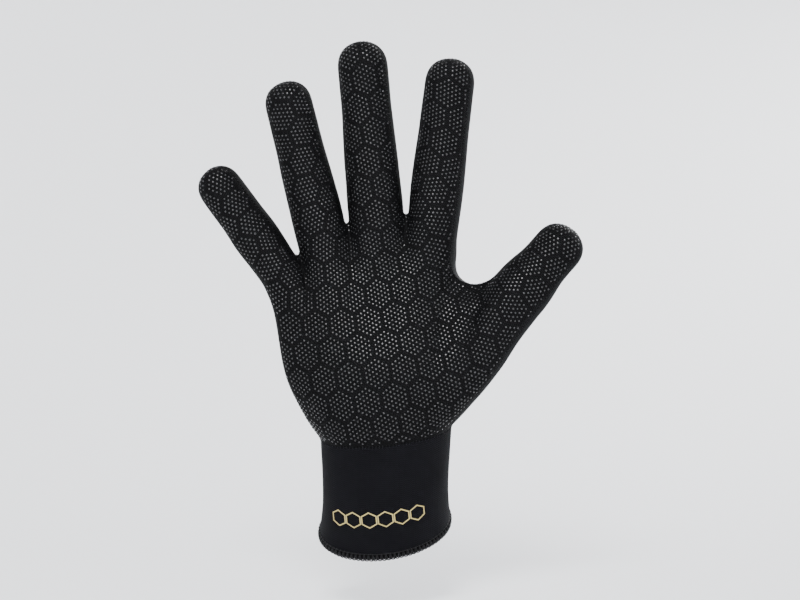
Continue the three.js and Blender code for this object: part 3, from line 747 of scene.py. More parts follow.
# %% The jersey's V stitches as a node group
STITCH_PITCH = 1.25 * MM
V_HEIGHT = 0.9
jersey = bpy.data.node_groups.new("jersey", "ShaderNodeTree")
jersey.interface.new_socket("Cloth", in_out="INPUT", socket_type="NodeSocketVector")
jersey.interface.new_socket("Turn", in_out="INPUT", socket_type="NodeSocketFloat")
jersey.interface.new_socket("Height", in_out="OUTPUT", socket_type="NodeSocketFloat")
group_in = jersey.nodes.new("NodeGroupInput")
group_out = jersey.nodes.new("NodeGroupOutput")
turned = add_node(jersey, "ShaderNodeVectorRotate",
                  {"Vector": group_in.outputs["Cloth"], "Angle": group_in.outputs["Turn"]},
                  rotation_type="Z_AXIS")
apart = add_node(jersey, "ShaderNodeSeparateXYZ", {0: turned.outputs[0]})
columns = calculate(jersey, "MULTIPLY", apart.outputs["X"], 1 / STITCH_PITCH)
rows = calculate(jersey, "MULTIPLY", apart.outputs["Y"], 1 / (STITCH_PITCH * V_HEIGHT))
from_middle = calculate(jersey, "SUBTRACT", calculate(jersey, "FRACT", columns), 0.5)
in_column = calculate(jersey, "ABSOLUTE", from_middle)
slanted = calculate(jersey, "ADD", rows, calculate(jersey, "MULTIPLY", in_column, 1.6))
wave = calculate(jersey, "SINE", calculate(jersey, "MULTIPLY", slanted, 2 * math.pi))
wave = calculate(jersey, "MULTIPLY_ADD", wave, 0.5, 0.5)
leg = calculate(jersey, "SINE", calculate(jersey, "MULTIPLY", in_column, 2 * math.pi))
stitch_height = calculate(jersey, "MULTIPLY", wave, calculate(jersey, "POWER", leg, 0.5))
jersey.links.new(stitch_height, group_out.inputs[0])
print("stitch pitch:", STITCH_PITCH / MM, "mm")


# %% Neoprene cloth
def neoprene(name, dark, light, roughness, sheen, turn=0.0):
    material = bpy.data.materials.new(name)
    material.use_nodes = True
    tree = material.node_tree
    shader = tree.nodes["Principled BSDF"]
    cloth = add_node(tree, "ShaderNodeUVMap", uv_map="cloth").outputs[0]
    knit = add_node(tree, "ShaderNodeGroup", node_tree=jersey)
    tree.links.new(cloth, knit.inputs["Cloth"])
    knit.inputs["Turn"].default_value = math.radians(turn)
    place = add_node(tree, "ShaderNodeTexCoord").outputs["Object"]
    cloudy = add_node(tree, "ShaderNodeTexNoise", {"Vector": place, "Scale": 55.0, "Detail": 3.0})
    fuzz = add_node(tree, "ShaderNodeTexNoise", {"Vector": place, "Scale": 2600.0, "Detail": 2.0})
    wear = calculate(tree, "MULTIPLY_ADD", cloudy.outputs[0], 0.7, 0.35)
    shade = calculate(tree, "MULTIPLY", knit.outputs[0], wear)
    tree.links.new(between_colours(tree, shade, dark, light), shader.inputs["Base Color"])
    rough = calculate(tree, "MULTIPLY_ADD", cloudy.outputs[0], 0.16, roughness - 0.08)
    tree.links.new(rough, shader.inputs["Roughness"])
    relief = calculate(tree, "MULTIPLY_ADD", fuzz.outputs[0], 0.35, knit.outputs[0])
    bump = add_node(tree, "ShaderNodeBump", {"Height": relief, "Strength": 0.55, "Distance": 0.16 * MM})
    tree.links.new(bump.outputs[0], shader.inputs["Normal"])
    shader.inputs["Sheen Weight"].default_value = sheen
    shader.inputs["Sheen Roughness"].default_value = 0.45
    shader.inputs["Sheen Tint"].default_value = (0.75, 0.78, 0.85, 1)
    shader.inputs["Specular IOR Level"].default_value = 0.05
    return material


palm_neoprene = neoprene("palm_neoprene", (0.001, 0.001, 0.0012), (0.0044, 0.0044, 0.005), 0.68, 0.0, turn=38)
back_neoprene = neoprene("back_neoprene", (0.0014, 0.0014, 0.0017), (0.0085, 0.0085, 0.0096), 0.7, 0.0)
strip_neoprene = neoprene("strip_neoprene", (0.0008, 0.0008, 0.001), (0.0034, 0.0034, 0.004), 0.76, 0.0)
cuff_neoprene = neoprene("cuff_neoprene", (0.0006, 0.0006, 0.001), (0.0085, 0.0085, 0.0112), 0.74, 0.0)
lining_jersey = neoprene("lining_jersey", (0.006, 0.006, 0.0065), (0.02, 0.02, 0.021), 0.85, 0.04)


# %% Grip print and threads
def plain_finish(name, dark, light, roughness, grain, relief, shine=0.5):
    """A one-colour finish with a little variation and relief, such as cured print or thread."""
    material = bpy.data.materials.new(name)
    material.use_nodes = True
    tree = material.node_tree
    shader = tree.nodes["Principled BSDF"]
    place = add_node(tree, "ShaderNodeTexCoord").outputs["Object"]
    grains = add_node(tree, "ShaderNodeTexNoise", {"Vector": place, "Scale": grain, "Detail": 2.0})
    tree.links.new(between_colours(tree, grains.outputs[0], dark, light), shader.inputs["Base Color"])
    heights = {"Height": grains.outputs[0], "Strength": relief, "Distance": 0.05 * MM}
    bump = add_node(tree, "ShaderNodeBump", heights)
    tree.links.new(bump.outputs[0], shader.inputs["Normal"])
    shader.inputs["Roughness"].default_value = roughness
    shader.inputs["Specular IOR Level"].default_value = shine
    return material


grip_print = plain_finish("grip_print", (0.005, 0.0052, 0.0057), (0.011, 0.0113, 0.012),
                          0.25, 260.0, 0.12, shine=0.38)
thread_glossy = plain_finish("thread_glossy", (0.0014, 0.0014, 0.0017), (0.0065, 0.0065, 0.0075),
                             0.42, 3200.0, 0.5, shine=0.16)
thread_black = plain_finish("thread_black", (0.0014, 0.0014, 0.0017), (0.006, 0.006, 0.007),
                            0.6, 3200.0, 0.6, shine=0.1)
gold_print = plain_finish("gold_print", (0.33, 0.26, 0.085), (0.47, 0.38, 0.145), 0.5, 900.0, 0.35)
print(len(bpy.data.materials), "materials")

# %% [markdown]
# ## Dress the panels
# Neoprene keeps its cut edges slightly rounded where it is glued. A small bevel on the rims gives
# that, and turns each seam into a shallow groove.

# %% Finish each panel
EDGE_ROUNDING = 0.45 * MM
FINISHES = {
    "palm": (palm_neoprene, "palm_panel", "printed_neoprene"),
    "back": (back_neoprene, "back_panel", "plain_neoprene"),
    "cuff": (cuff_neoprene, "cuff", "cuff_cloth"),
    "strip_little_ring": (strip_neoprene, "side_strip_little_ring", "strip"),
    "strip_ring_middle": (strip_neoprene, "side_strip_ring_middle", "strip"),
    "strip_middle_index": (strip_neoprene, "side_strip_middle_index", "strip"),
}
for name, (outside, node, slot) in FINISHES.items():
    solid = panels[name][1]
    solid.data.materials.append(outside)
    solid.data.materials.append(lining_jersey)
    rounding = solid.modifiers.new("rounded_edges", "BEVEL")
    rounding.width, rounding.segments = EDGE_ROUNDING, 2
    rounding.limit_method, rounding.angle_limit = "ANGLE", math.radians(55)
    rounding.use_clamp_overlap = True
    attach(solid, "root")
    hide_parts(node)
print("panels dressed:", ", ".join(FINISHES))

# %% [markdown]
# ## The grip print
# The print is a honeycomb of dot clusters, pressed onto the flat cloth. Geometry Nodes lays the
# clusters out on the flat plane, then Sample UV Surface finds where each dot lands on the curved
# panel. Dots that fall outside the panel or on its seams are left out, as a cutter would lose them.


# %% Geometry Nodes helpers
def new_tree(name, inputs):
    """A tree with named inputs: name to (socket type, value)."""
    tree = bpy.data.node_groups.new(name, "GeometryNodeTree")
    tree.interface.new_socket("Geometry", in_out="INPUT", socket_type="NodeSocketGeometry")
    for label, (kind, value) in inputs.items():
        socket = tree.interface.new_socket(label, in_out="INPUT", socket_type=f"NodeSocket{kind}")
        if kind in ("Float", "Int"):
            socket.default_value = value
    tree.interface.new_socket("Geometry", in_out="OUTPUT", socket_type="NodeSocketGeometry")
    return tree, tree.nodes.new("NodeGroupInput").outputs, tree.nodes.new("NodeGroupOutput")


def end_tree(tree, geometry, material, out):
    """Every tree ends alike: real geometry in one finish."""
    realized = add_node(tree, "GeometryNodeRealizeInstances", {"Geometry": geometry})
    smooth = add_node(tree, "GeometryNodeSetShadeSmooth", {"Geometry": realized.outputs[0]})
    finished = add_node(tree, "GeometryNodeSetMaterial",
                        {"Geometry": smooth.outputs[0], "Material": material})
    tree.links.new(finished.outputs[0], out.inputs[0])


def grow(name, source, tree, values):
    """Runs a tree on the source mesh and keeps the result as a plain mesh object."""
    obj = bpy.data.objects.new(name, source)
    bpy.context.scene.collection.objects.link(obj)
    modifier = obj.modifiers.new(name, "NODES")
    modifier.node_group = tree
    for item in tree.interface.items_tree:
        if item.item_type == "SOCKET" and item.in_out == "INPUT" and item.name in values:
            modifier[item.identifier] = values[item.name]
    obj.update_tag()
    graph = bpy.context.evaluated_depsgraph_get()
    mesh = bpy.data.meshes.new_from_object(obj.evaluated_get(graph))
    obj.modifiers.remove(modifier)
    obj.data = mesh
    mesh.name = name
    print(name, len(mesh.polygons), "faces")
    return obj


def vector_math(tree, operation, a, b=(0, 0, 0), scale=1.0):
    node = add_node(tree, "ShaderNodeVectorMath", {0: a, 1: b}, operation=operation)
    if operation == "SCALE":
        if isinstance(scale, bpy.types.NodeSocket):
            tree.links.new(scale, node.inputs["Scale"])
        else:
            node.inputs["Scale"].default_value = scale
    return node.outputs[0]


def on_cloth(tree, flat, sheet):
    """Where flat cloth coordinates land on the sheet: (is valid, place, normal, metres from its edge)."""
    info = add_node(tree, "GeometryNodeObjectInfo", {"Object": sheet}, transform_space="RELATIVE")
    coordinates = stored(tree, "cloth", "FLOAT_VECTOR")
    values = {
        "place": ("FLOAT_VECTOR", tree.nodes.new("GeometryNodeInputPosition").outputs[0]),
        "normal": ("FLOAT_VECTOR", tree.nodes.new("GeometryNodeInputNormal").outputs[0]),
        "from_edge": ("FLOAT", stored(tree, "from_edge", "FLOAT")),
    }
    found = {}
    for label, (kind, value) in values.items():
        sample = add_node(tree, "GeometryNodeSampleUVSurface", data_type=kind)
        tree.links.new(info.outputs["Geometry"], sample.inputs["Mesh"])
        tree.links.new(value, sample.inputs["Value"])
        tree.links.new(coordinates, sample.inputs["Source UV Map"])
        tree.links.new(flat, sample.inputs["Sample UV"])
        found[label] = sample.outputs["Value"]
        found["valid"] = sample.outputs["Is Valid"]
    return found


def store(tree, geometry, label, kind, value):
    node = add_node(tree, "GeometryNodeStoreNamedAttribute",
                    {"Geometry": geometry, "Name": label, "Value": value}, data_type=kind, domain="POINT")
    return node.outputs[0]


def stored(tree, label, kind):
    return add_node(tree, "GeometryNodeInputNamedAttribute", {"Name": label}, data_type=kind).outputs[0]


def moved_to(tree, geometry, place):
    values = {"Geometry": geometry, "Position": place}
    return add_node(tree, "GeometryNodeSetPosition", values).outputs[0]


def without(tree, geometry, selection):
    values = {"Geometry": geometry, "Selection": selection}
    return add_node(tree, "GeometryNodeDeleteGeometry", values).outputs[0]


def grid_steps(tree, size, middle_column, middle_row):
    """A grid point's column and row, counted from the middle ones."""
    index = tree.nodes.new("GeometryNodeInputIndex").outputs[0]
    column = calculate(tree, "FLOOR", calculate(tree, "DIVIDE", index, size))
    row = calculate(tree, "MODULO", index, size)
    return calculate(tree, "SUBTRACT", column, middle_column), calculate(tree, "SUBTRACT", row, middle_row)


def random_size(tree, seed, smallest, largest):
    node = add_node(tree, "FunctionNodeRandomValue", {"Seed": seed}, data_type="FLOAT")
    for socket, value in zip([s for s in node.inputs if s.type == "VALUE"], (smallest, largest)):
        if isinstance(value, bpy.types.NodeSocket):
            tree.links.new(value, socket)
        else:
            socket.default_value = value
    return next(s for s in node.outputs if s.type == "VALUE")


def repeat_on(tree, points, instance, **more):
    labels = {"turned": "Rotation", "size": "Scale"}
    values = {"Points": points, "Instance": instance, **{labels[key]: more[key] for key in more}}
    return add_node(tree, "GeometryNodeInstanceOnPoints", values).outputs[0]


# %% The tree for the print
PRINT_LAYOUT = {"Column spacing": 0.0017, "Dot spacing": 0.00232, "Cluster across": 0.0132,
                "Cluster up": 0.0134, "Clear of seam": 0.0012}
DOT_SIZES = 0.86, 1.1
dots, dots_in, dots_out = new_tree("honeycomb_print", {
    "Sheet": ("Object", None), "Dot": ("Object", None), "Finish": ("Material", None),
    **{label: ("Float", metres) for label, metres in PRINT_LAYOUT.items()},
    "Turn": ("Float", 0.0), "Seed": ("Int", 4),
})
PER_SIDE = 4
ROWS_OF_DOTS = 2 * PER_SIDE - 1
HALF_FIELD = 14

one_cluster = add_node(dots, "GeometryNodeMeshGrid", {"Vertices X": ROWS_OF_DOTS, "Vertices Y": ROWS_OF_DOTS})
column, in_column = grid_steps(dots, ROWS_OF_DOTS, PER_SIDE - 1, 0)
last = calculate(dots, "SUBTRACT", ROWS_OF_DOTS - 1, calculate(dots, "ABSOLUTE", column))
height = calculate(dots, "SUBTRACT", in_column, calculate(dots, "MULTIPLY", last, 0.5))
dot_place = add_node(dots, "ShaderNodeCombineXYZ", {
    "X": calculate(dots, "MULTIPLY", column, dots_in["Column spacing"]),
    "Y": calculate(dots, "MULTIPLY", height, dots_in["Dot spacing"])})
spare = add_node(dots, "FunctionNodeCompare", {"A": in_column, "B": calculate(dots, "ADD", last, 0.5)},
                 data_type="FLOAT", operation="GREATER_THAN")
placed = moved_to(dots, one_cluster.outputs[0], dot_place.outputs[0])
cluster = without(dots, placed, spare.outputs[0])

# Cluster centres: every other row is moved by half a cluster
side = 2 * HALF_FIELD + 1
field = add_node(dots, "GeometryNodeMeshGrid", {"Vertices X": side, "Vertices Y": side})
across_steps, up_steps = grid_steps(dots, side, HALF_FIELD, HALF_FIELD)
odd_row = calculate(dots, "ABSOLUTE", calculate(dots, "MODULO", up_steps, 2.0))
shifted = calculate(dots, "ADD", across_steps, calculate(dots, "MULTIPLY", odd_row, 0.5))
centre_place = add_node(dots, "ShaderNodeCombineXYZ", {
    "X": calculate(dots, "MULTIPLY", shifted, dots_in["Cluster across"]),
    "Y": calculate(dots, "MULTIPLY", up_steps, dots_in["Cluster up"])})
centres = moved_to(dots, field.outputs[0], centre_place.outputs[0])
clusters = repeat_on(dots, centres, cluster)
loose = add_node(dots, "GeometryNodeRealizeInstances", {"Geometry": clusters})

# From the flat plane to the panel
PRINT_CENTRE = (0.0056, 0.1112, 0)
position = dots.nodes.new("GeometryNodeInputPosition").outputs[0]
turned = add_node(dots, "ShaderNodeVectorRotate", {"Vector": position, "Angle": dots_in["Turn"]},
                  rotation_type="Z_AXIS")
landed = on_cloth(dots, vector_math(dots, "ADD", turned.outputs[0], PRINT_CENTRE), dots_in["Sheet"])
room = calculate(dots, "MULTIPLY", landed["from_edge"], landed["valid"])
kept = store(dots, loose.outputs[0], "landed", "FLOAT_VECTOR", landed["place"])
kept = store(dots, kept, "outward", "FLOAT_VECTOR", landed["normal"])
kept = store(dots, kept, "room", "FLOAT", room)
cramped = add_node(dots, "FunctionNodeCompare",
                   {"A": stored(dots, "room", "FLOAT"), "B": dots_in["Clear of seam"]},
                   data_type="FLOAT", operation="LESS_THAN")
kept = without(dots, kept, cramped.outputs[0])
kept = moved_to(dots, kept, stored(dots, "landed", "FLOAT_VECTOR"))
outward = stored(dots, "outward", "FLOAT_VECTOR")
upright = add_node(dots, "FunctionNodeAlignRotationToVector", {"Vector": outward}, axis="Z")
dot_shape = add_node(dots, "GeometryNodeObjectInfo", {"Object": dots_in["Dot"]})
domes = repeat_on(dots, kept, dot_shape.outputs["Geometry"], turned=upright.outputs[0],
                  size=random_size(dots, dots_in["Seed"], *DOT_SIZES))
end_tree(dots, domes, dots_in["Finish"], dots_out)

# %% Lay the print on the palm
DOT_WIDTH, DOT_HEIGHT, DOT_SINK = 1.12, 0.12, 0.08
PRINT_TURN = 9.0


def dome(name, width, height, sink, sides=8):
    """A low closed dome of a few dozen faces, its base a little below the cloth."""
    rings = [(width / 2, -sink), (width / 2 * 0.93, height * 0.45), (width / 2 * 0.55, height * 0.88)]
    turns = [2 * math.pi * i / sides for i in range(sides)]
    vertices = [(r * math.cos(t), r * math.sin(t), z) for r, z in rings for t in turns] + [(0, 0, height)]
    loops = [tuple(range(sides - 1, -1, -1))]
    for ring in range(len(rings) - 1):
        for i in range(sides):
            a, b = ring * sides + i, ring * sides + (i + 1) % sides
            loops.append((a, b, b + sides, a + sides))
    top = len(vertices) - 1
    loops += [(top - sides + i, top - sides + (i + 1) % sides, top) for i in range(sides)]
    return mesh_object(name, np.array(vertices) * MM, loops)


dot = dome("dot_shape", DOT_WIDTH, DOT_HEIGHT, DOT_SINK)
grip_dots = grow("grip_dots", bpy.data.meshes.new("print_start"), dots, {
    "Sheet": panels["palm"][0], "Dot": dot, "Finish": grip_print,
    **PRINT_LAYOUT, "Turn": math.radians(PRINT_TURN), "Seed": 4})
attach(grip_dots, "root")

# %% [markdown]
# ## Seam stitches
# Glued neoprene is stitched blind: short threads cross the seam like the rungs of a ladder and
# catch only the upper part of the foam. The seam lines come from the skin, where two panels meet,
# and a small tree sets one rung every two millimetres.


# %% Thread and seam lines
def thread(name, path, radius, sides=5):
    """A closed round thread along a path in millimetres."""
    path = [Vector(p) for p in path]
    vertices, loops = [], []
    for i, place in enumerate(path):
        ahead = (path[min(i + 1, len(path) - 1)] - path[max(i - 1, 0)]).normalized()
        turned = ahead.to_track_quat("Z", "Y")
        for k in range(sides):
            turn = 2 * math.pi * k / sides
            vertices.append(place + turned @ Vector((radius * math.cos(turn), radius * math.sin(turn), 0)))
    for i in range(len(path) - 1):
        for k in range(sides):
            a, b = i * sides + k, i * sides + (k + 1) % sides
            loops.append((a, b, b + sides, a + sides))
    loops += [tuple(range(sides - 1, -1, -1)), tuple(range(len(vertices) - sides, len(vertices)))]
    return mesh_object(name, np.array([tuple(v) for v in vertices]) * MM, loops)


def seam_lines(name, wanted):
    """The lines where two panels meet, with the way outwards kept on each point."""
    panels_at = {}
    for panel, loop in faces:
        for pair in zip(loop, loop[1:] + loop[:1]):
            panels_at.setdefault(tuple(sorted(pair)), set()).add(panel)
    edges = [pair for pair, sides in panels_at.items() if len(sides) == 2 and wanted(sides)]
    return line_mesh(name, skin, skin_normals, edges)


def line_mesh(name, places, normals, edges):
    used = sorted({corner for pair in edges for corner in pair})
    place = {corner: i for i, corner in enumerate(used)}
    mesh = bpy.data.meshes.new(name)
    mesh.from_pydata([tuple(p) for p in places[used] * MM], [(place[a], place[b]) for a, b in edges], [])
    outward = mesh.attributes.new("outward", "FLOAT_VECTOR", "POINT")
    outward.data.foreach_set("vector", normals[used].astype(np.float32).ravel())
    return mesh


# %% The tree that sets stitches along a line
rungs, rungs_in, rungs_out = new_tree("stitches_on_a_line", {
    "Stitch": ("Object", None), "Finish": ("Material", None), "Pitch": ("Float", 0.002),
    "Unevenness": ("Float", 0.1), "Seed": ("Int", 7)})
line = add_node(rungs, "GeometryNodeMeshToCurve", {"Mesh": rungs_in["Geometry"]})
even_line = add_node(rungs, "GeometryNodeResampleCurve",
                     {"Curve": line.outputs[0], "Length": rungs_in["Pitch"]}, mode="LENGTH")
tangent = rungs.nodes.new("GeometryNodeInputTangent").outputs[0]
along = add_node(rungs, "FunctionNodeAlignRotationToVector", {"Vector": tangent}, axis="X")
facing_out = add_node(rungs, "FunctionNodeAlignRotationToVector",
                      {"Rotation": along.outputs[0], "Vector": stored(rungs, "outward", "FLOAT_VECTOR")},
                      axis="Z", pivot_axis="X")
smallest = calculate(rungs, "SUBTRACT", 1.0, rungs_in["Unevenness"])
largest = calculate(rungs, "ADD", 1.0, rungs_in["Unevenness"])
stitch_shape = add_node(rungs, "GeometryNodeObjectInfo", {"Object": rungs_in["Stitch"]})
row = repeat_on(rungs, even_line.outputs[0], stitch_shape.outputs["Geometry"], turned=facing_out.outputs[0],
                size=random_size(rungs, rungs_in["Seed"], smallest, largest))
end_tree(rungs, row, rungs_in["Finish"], rungs_out)

# %% Stitch the seams
SEAM_PITCH, WRIST_PITCH = 1.9 * MM, 1.7 * MM
rung = thread("rung", [(-0.12, -0.72, -0.12), (-0.1, -0.5, 0.07), (0, 0, 0.04), (0.1, 0.5, 0.07),
                       (0.12, 0.72, -0.12)], 0.13)
hand_seams = seam_lines("hand_seams", lambda sides: "cuff" not in sides)
wrist_seam = seam_lines("wrist_seam", lambda sides: "cuff" in sides)
seam_stitches = grow("seam_stitches", hand_seams, rungs, {
    "Stitch": rung, "Finish": thread_black, "Pitch": SEAM_PITCH, "Unevenness": 0.12, "Seed": 7})
wrist_stitches = grow("wrist_seam_stitches", wrist_seam, rungs, {
    "Stitch": rung, "Finish": thread_black, "Pitch": WRIST_PITCH, "Unevenness": 0.12, "Seed": 11})
for stitches in (seam_stitches, wrist_stitches):
    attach(stitches, "root")

# %% [markdown]
# ## The overlocked hem
# The cuff's cut end is overlocked: threads run over both faces and knot along the edge, where
# they make small scallops. One loop of thread is drawn once and repeated round the hem, over a
# thin dark band that hides the foam. The band's dark colour is also painted shade between the loops.

# %% The loop and the band
HEM_PITCH, HEM_REACH, THREAD = 2.2, 2.5, 0.3
FACE = WALL / 2
over_edge = [(0, HEM_REACH, FACE + 0.12), (0.22, 1.5, FACE + 0.42), (0.5, 0.5, FACE + 0.4),
             (0.66, -0.25, FACE + 0.1),
             (0.7, -0.5, 0.6), (0.7, -0.55, 0), (0.7, -0.5, -0.6), (0.66, -0.25, -FACE - 0.1),
             (0.5, 0.5, -FACE - 0.4), (0.22, 1.5, -FACE - 0.42), (0, HEM_REACH, -FACE - 0.12)]
back_over = [(HEM_PITCH - x, y, z) for x, y, z in over_edge[:4]]
scallop = [(0.1, 0, FACE + 0.2), (0.45, -0.7, FACE), (0.95, -1.1, FACE - 0.3), (1.5, -1.1, FACE - 0.3),
           (2, -0.7, FACE), (2.35, 0, FACE + 0.2)]
needle = [(0.2, HEM_REACH + 0.2, FACE - 0.05), (0.45, HEM_REACH + 0.22, FACE + 0.16),
          (1.75, HEM_REACH + 0.22, FACE + 0.16), (2, HEM_REACH + 0.2, FACE - 0.05)]
parts = [thread("part", path, radius) for path, radius in
         ((over_edge, THREAD), (back_over, THREAD), (scallop, THREAD * 1.15), (needle, THREAD * 0.9))]
loop_mesh = bmesh.new()
for part in parts:
    loop_mesh.from_mesh(part.data)
    bpy.data.objects.remove(part)
hem_loop = bpy.data.objects.new("hem_loop", bpy.data.meshes.new("hem_loop"))
bpy.context.scene.collection.objects.link(hem_loop)
loop_mesh.to_mesh(hem_loop.data)
loop_mesh.free()

hem_ring = [line[0] for line in round_cuff]
hem_places = skin[hem_ring] - skin_normals[hem_ring] * FACE
hem_normals = skin_normals[hem_ring]
ring_edges = [(i, (i + 1) % len(hem_ring)) for i in range(len(hem_ring))]
hem_line = line_mesh("hem_line", hem_places, hem_normals, ring_edges)
hem_length = np.linalg.norm(np.roll(hem_places, -1, 0) - hem_places, axis=1).sum()
whole_pitch = hem_length / round(hem_length / HEM_PITCH) * MM
hem_edging = grow("hem_edging", hem_line, rungs, {
    "Stitch": hem_loop, "Finish": thread_glossy, "Pitch": whole_pitch, "Unevenness": 0.03, "Seed": 3})
print("hem:", round(hem_length), "mm round")


def hem_band():
    """A thin dark band round the cut end, U-shaped in section; it hides the foam, and its dark colour is
    painted shade between the loops.
    """
    off, out, end, reach = FACE + 0.02, FACE + 0.22, -0.3, HEM_REACH
    fold = -0.08
    half = [(out, end), (out, reach), (off, reach), (off, fold)]
    section = half + [(-x, y) for x, y in half[::-1]]
    ups = skin[[line[1] for line in round_cuff]] - skin[hem_ring]
    ups /= np.linalg.norm(ups, axis=1, keepdims=True)
    sides, count = len(section), len(hem_ring)
    vertices = [hem_places[i] + hem_normals[i] * x + ups[i] * y for i in range(count) for x, y in section]
    loops = []
    for i in range(count):
        here, ahead = i * sides, (i + 1) % count * sides
        for k in range(sides):
            beside = (k + 1) % sides
            loops.append((here + k, ahead + k, ahead + beside, here + beside))
    return mesh_object("hem_band", np.array(vertices) * MM, loops)


band = hem_band()
# The band's even near-black is painted shade between the hem's loops, over the foam it covers.
band.data.materials.append(strip_neoprene)
for piece in (hem_edging, band):
    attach(piece, "root")
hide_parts("cuff_edging")
bpy.data.objects.remove(hem_loop)
bpy.data.objects.remove(rung)
bpy.data.objects.remove(dot)

# %% [markdown]
# ## A band of hexagons on the cuff
# The place for a mark on the cuff carries a plain row of hexagon outlines in the same gold print.
# It is a thin solid drawn flat and laid on the cuff's own coordinates, as the dots are.

# %% Draw and lay the hexagons
HEXAGONS, HEX_RADIUS, HEX_LINE, PRINT_THICKNESS = 6, 4.6, 0.68, 0.09
HEX_CENTRE = (-3.6, 6.2)
HEX_TURN = 6.0


def hexagon_outline(centre, radius, line, steps=5):
    """A flat closed ring with six corners, each side cut in steps so that it can bend."""
    rings = []
    inner, sunk = radius - line, -0.02
    for r, z in ((radius, sunk), (radius, PRINT_THICKNESS), (inner, PRINT_THICKNESS), (inner, sunk)):
        corners = [Vector((r * sin(60 * k), r * cos(60 * k), 0)) for k in range(7)]
        ring = [a.lerp(b, i / steps) for a, b in zip(corners, corners[1:]) for i in range(steps)]
        rings.append([(p.x + centre[0], p.y + centre[1], z) for p in ring])
    return rings


vertices, loops = [], []
pitch = 2 * (HEX_RADIUS * cos(30)) - HEX_LINE * 0.1 + 0.35
for number in range(HEXAGONS):
    rings = hexagon_outline(((number - (HEXAGONS - 1) / 2) * pitch, 0), HEX_RADIUS, HEX_LINE)
    start, size_of_ring = len(vertices), len(rings[0])
    vertices += [vertex for ring in rings for vertex in ring]
    for k in range(4):
        for i in range(size_of_ring):
            a, b = start + k * size_of_ring, start + (k + 1) % 4 * size_of_ring
            j = (i + 1) % size_of_ring
            loops.append((a + i, b + i, b + j, a + j))
cos_turn, sin_turn = cos(HEX_TURN), sin(HEX_TURN)
vertices = [(x * cos_turn - y * sin_turn + HEX_CENTRE[0], x * sin_turn + y * cos_turn + HEX_CENTRE[1], z)
            for x, y, z in vertices]
flat_band = mesh_object("flat_band", np.array(vertices) * MM, loops)

laid, laid_in, laid_out = new_tree("print_on_cloth", {
    "Sheet": ("Object", None), "Finish": ("Material", None)})
position = laid.nodes.new("GeometryNodeInputPosition").outputs[0]
landed = on_cloth(laid, position, laid_in["Sheet"])
thickness = add_node(laid, "ShaderNodeSeparateXYZ", {0: position}).outputs["Z"]
lift = vector_math(laid, "SCALE", landed["normal"], scale=thickness)
raised = vector_math(laid, "ADD", landed["place"], lift)
end_tree(laid, moved_to(laid, laid_in["Geometry"], raised), laid_in["Finish"], laid_out)
hexagon_band = grow("hexagon_band", flat_band.data, laid, {"Sheet": panels["cuff"][0], "Finish": gold_print})
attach(hexagon_band, "root")
bpy.data.objects.remove(flat_band)
for sheet, _ in panels.values():
    bpy.data.objects.remove(sheet)

# %% [markdown]
# ## Stage, light and camera
# A pale bowl stands in for a studio's paper sweep, wide enough that its bend doesn't show behind
# the glove. The key lamp above the camera is small, which gives the print its shine. The others
# are larger and soft: a weak fill on the right, one behind for the form of the back, and two
# that are turned to the paper and also reach the glove. The camera is level with the middle of
# the glove, as in a catalogue picture.

# %% The bowl
FLOOR, BOWL_RADIUS, BOWL_BEND, BOWL_HEIGHT = -0.042, 2.5, 2.0, 2.8


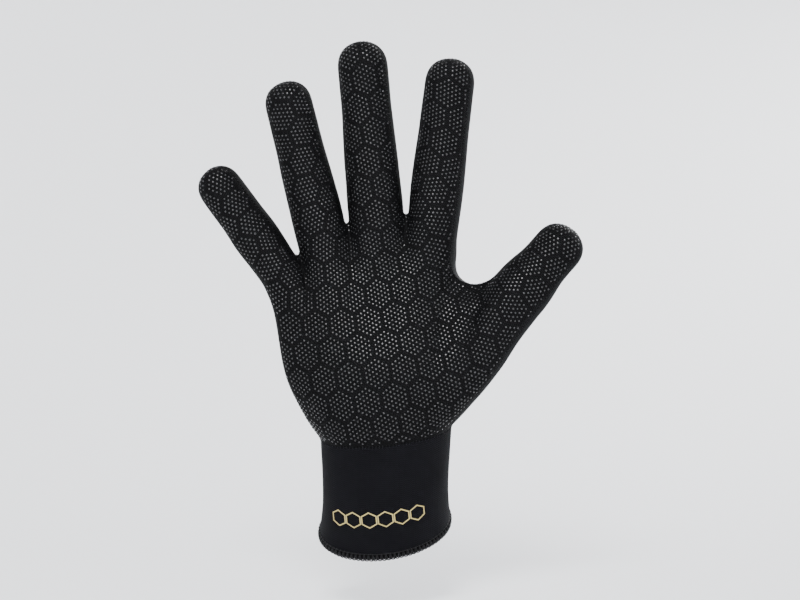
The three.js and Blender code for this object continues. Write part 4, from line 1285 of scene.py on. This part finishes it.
def bowl(sides=72, steps=14):
    profile_points = [(0.0, 0.0), (BOWL_RADIUS - BOWL_BEND, 0.0)]
    for i in range(1, steps + 1):
        turn = 90 * i / steps
        profile_points.append((BOWL_RADIUS - BOWL_BEND + BOWL_BEND * sin(turn), BOWL_BEND * (1 - cos(turn))))
    profile_points.append((BOWL_RADIUS, BOWL_HEIGHT))
    vertices = [(0, 0, FLOOR)]
    for r, z in profile_points[1:]:
        vertices += [(r * cos(360 * k / sides), r * sin(360 * k / sides), z + FLOOR) for k in range(sides)]
    loops = [(0, 1 + k, 1 + (k + 1) % sides) for k in range(sides)]
    for ring in range(len(profile_points) - 2):
        for k in range(sides):
            a, b = 1 + ring * sides + k, 1 + ring * sides + (k + 1) % sides
            loops.append((a, a + sides, b + sides, b))
    floor = mesh_object("studio_floor", vertices, loops)
    floor.data.shade_smooth()
    return floor


floor = bowl()
paper = bpy.data.materials.new("pale_paper")
paper.use_nodes = True
paper.node_tree.nodes["Principled BSDF"].inputs["Base Color"].default_value = (0.8, 0.81, 0.83, 1)
paper.node_tree.nodes["Principled BSDF"].inputs["Roughness"].default_value = 0.95
floor.data.materials.append(paper)

# %% Light
world = bpy.data.worlds.new("studio")
bpy.context.scene.world = world
world.use_nodes = True
world.node_tree.nodes["Background"].inputs["Color"].default_value = (0.86, 0.88, 0.92, 1)
world.node_tree.nodes["Background"].inputs["Strength"].default_value = 0.2
LAMPS = [
    dict(name="key", place=(-0.12, -1.35, 0.88), aim=(0, -0.03, 0.14), size=0.4, power=42),
    dict(name="fill", place=(1.25, -1.3, 0.5), aim=(0, -0.03, 0.12), size=1.2, power=3),
    dict(name="behind", place=(0.95, 1.25, 1.15), aim=(0, 0, 0.12), size=0.8, power=28),
    dict(name="paper left", place=(-1.2, 0.6, 2.0), aim=(0, 2.2, 0.3), size=1.0, power=38),
    dict(name="paper right", place=(1.2, 0.6, 2.0), aim=(0, 2.2, 0.3), size=1.0, power=38),
]
for lamp in LAMPS:
    data = bpy.data.lights.new(lamp["name"], "AREA")
    data.size, data.energy = lamp["size"], lamp["power"]
    light = bpy.data.objects.new(lamp["name"], data)
    light.location = lamp["place"]
    light.rotation_euler = (Vector(lamp["aim"]) - light.location).to_track_quat("-Z", "Y").to_euler()
    bpy.context.scene.collection.objects.link(light)
print("lamps:", [lamp["name"] for lamp in LAMPS])

# %% Camera
camera_data = bpy.data.cameras.new("camera")
camera_data.lens, camera_data.sensor_width = 94.5, 36
camera = bpy.data.objects.new("camera", camera_data)
camera.location = (0.00775, -1.079, 0.116)
camera.rotation_euler = (math.radians(90), 0, 0)
bpy.context.scene.collection.objects.link(camera)
bpy.context.scene.camera = camera
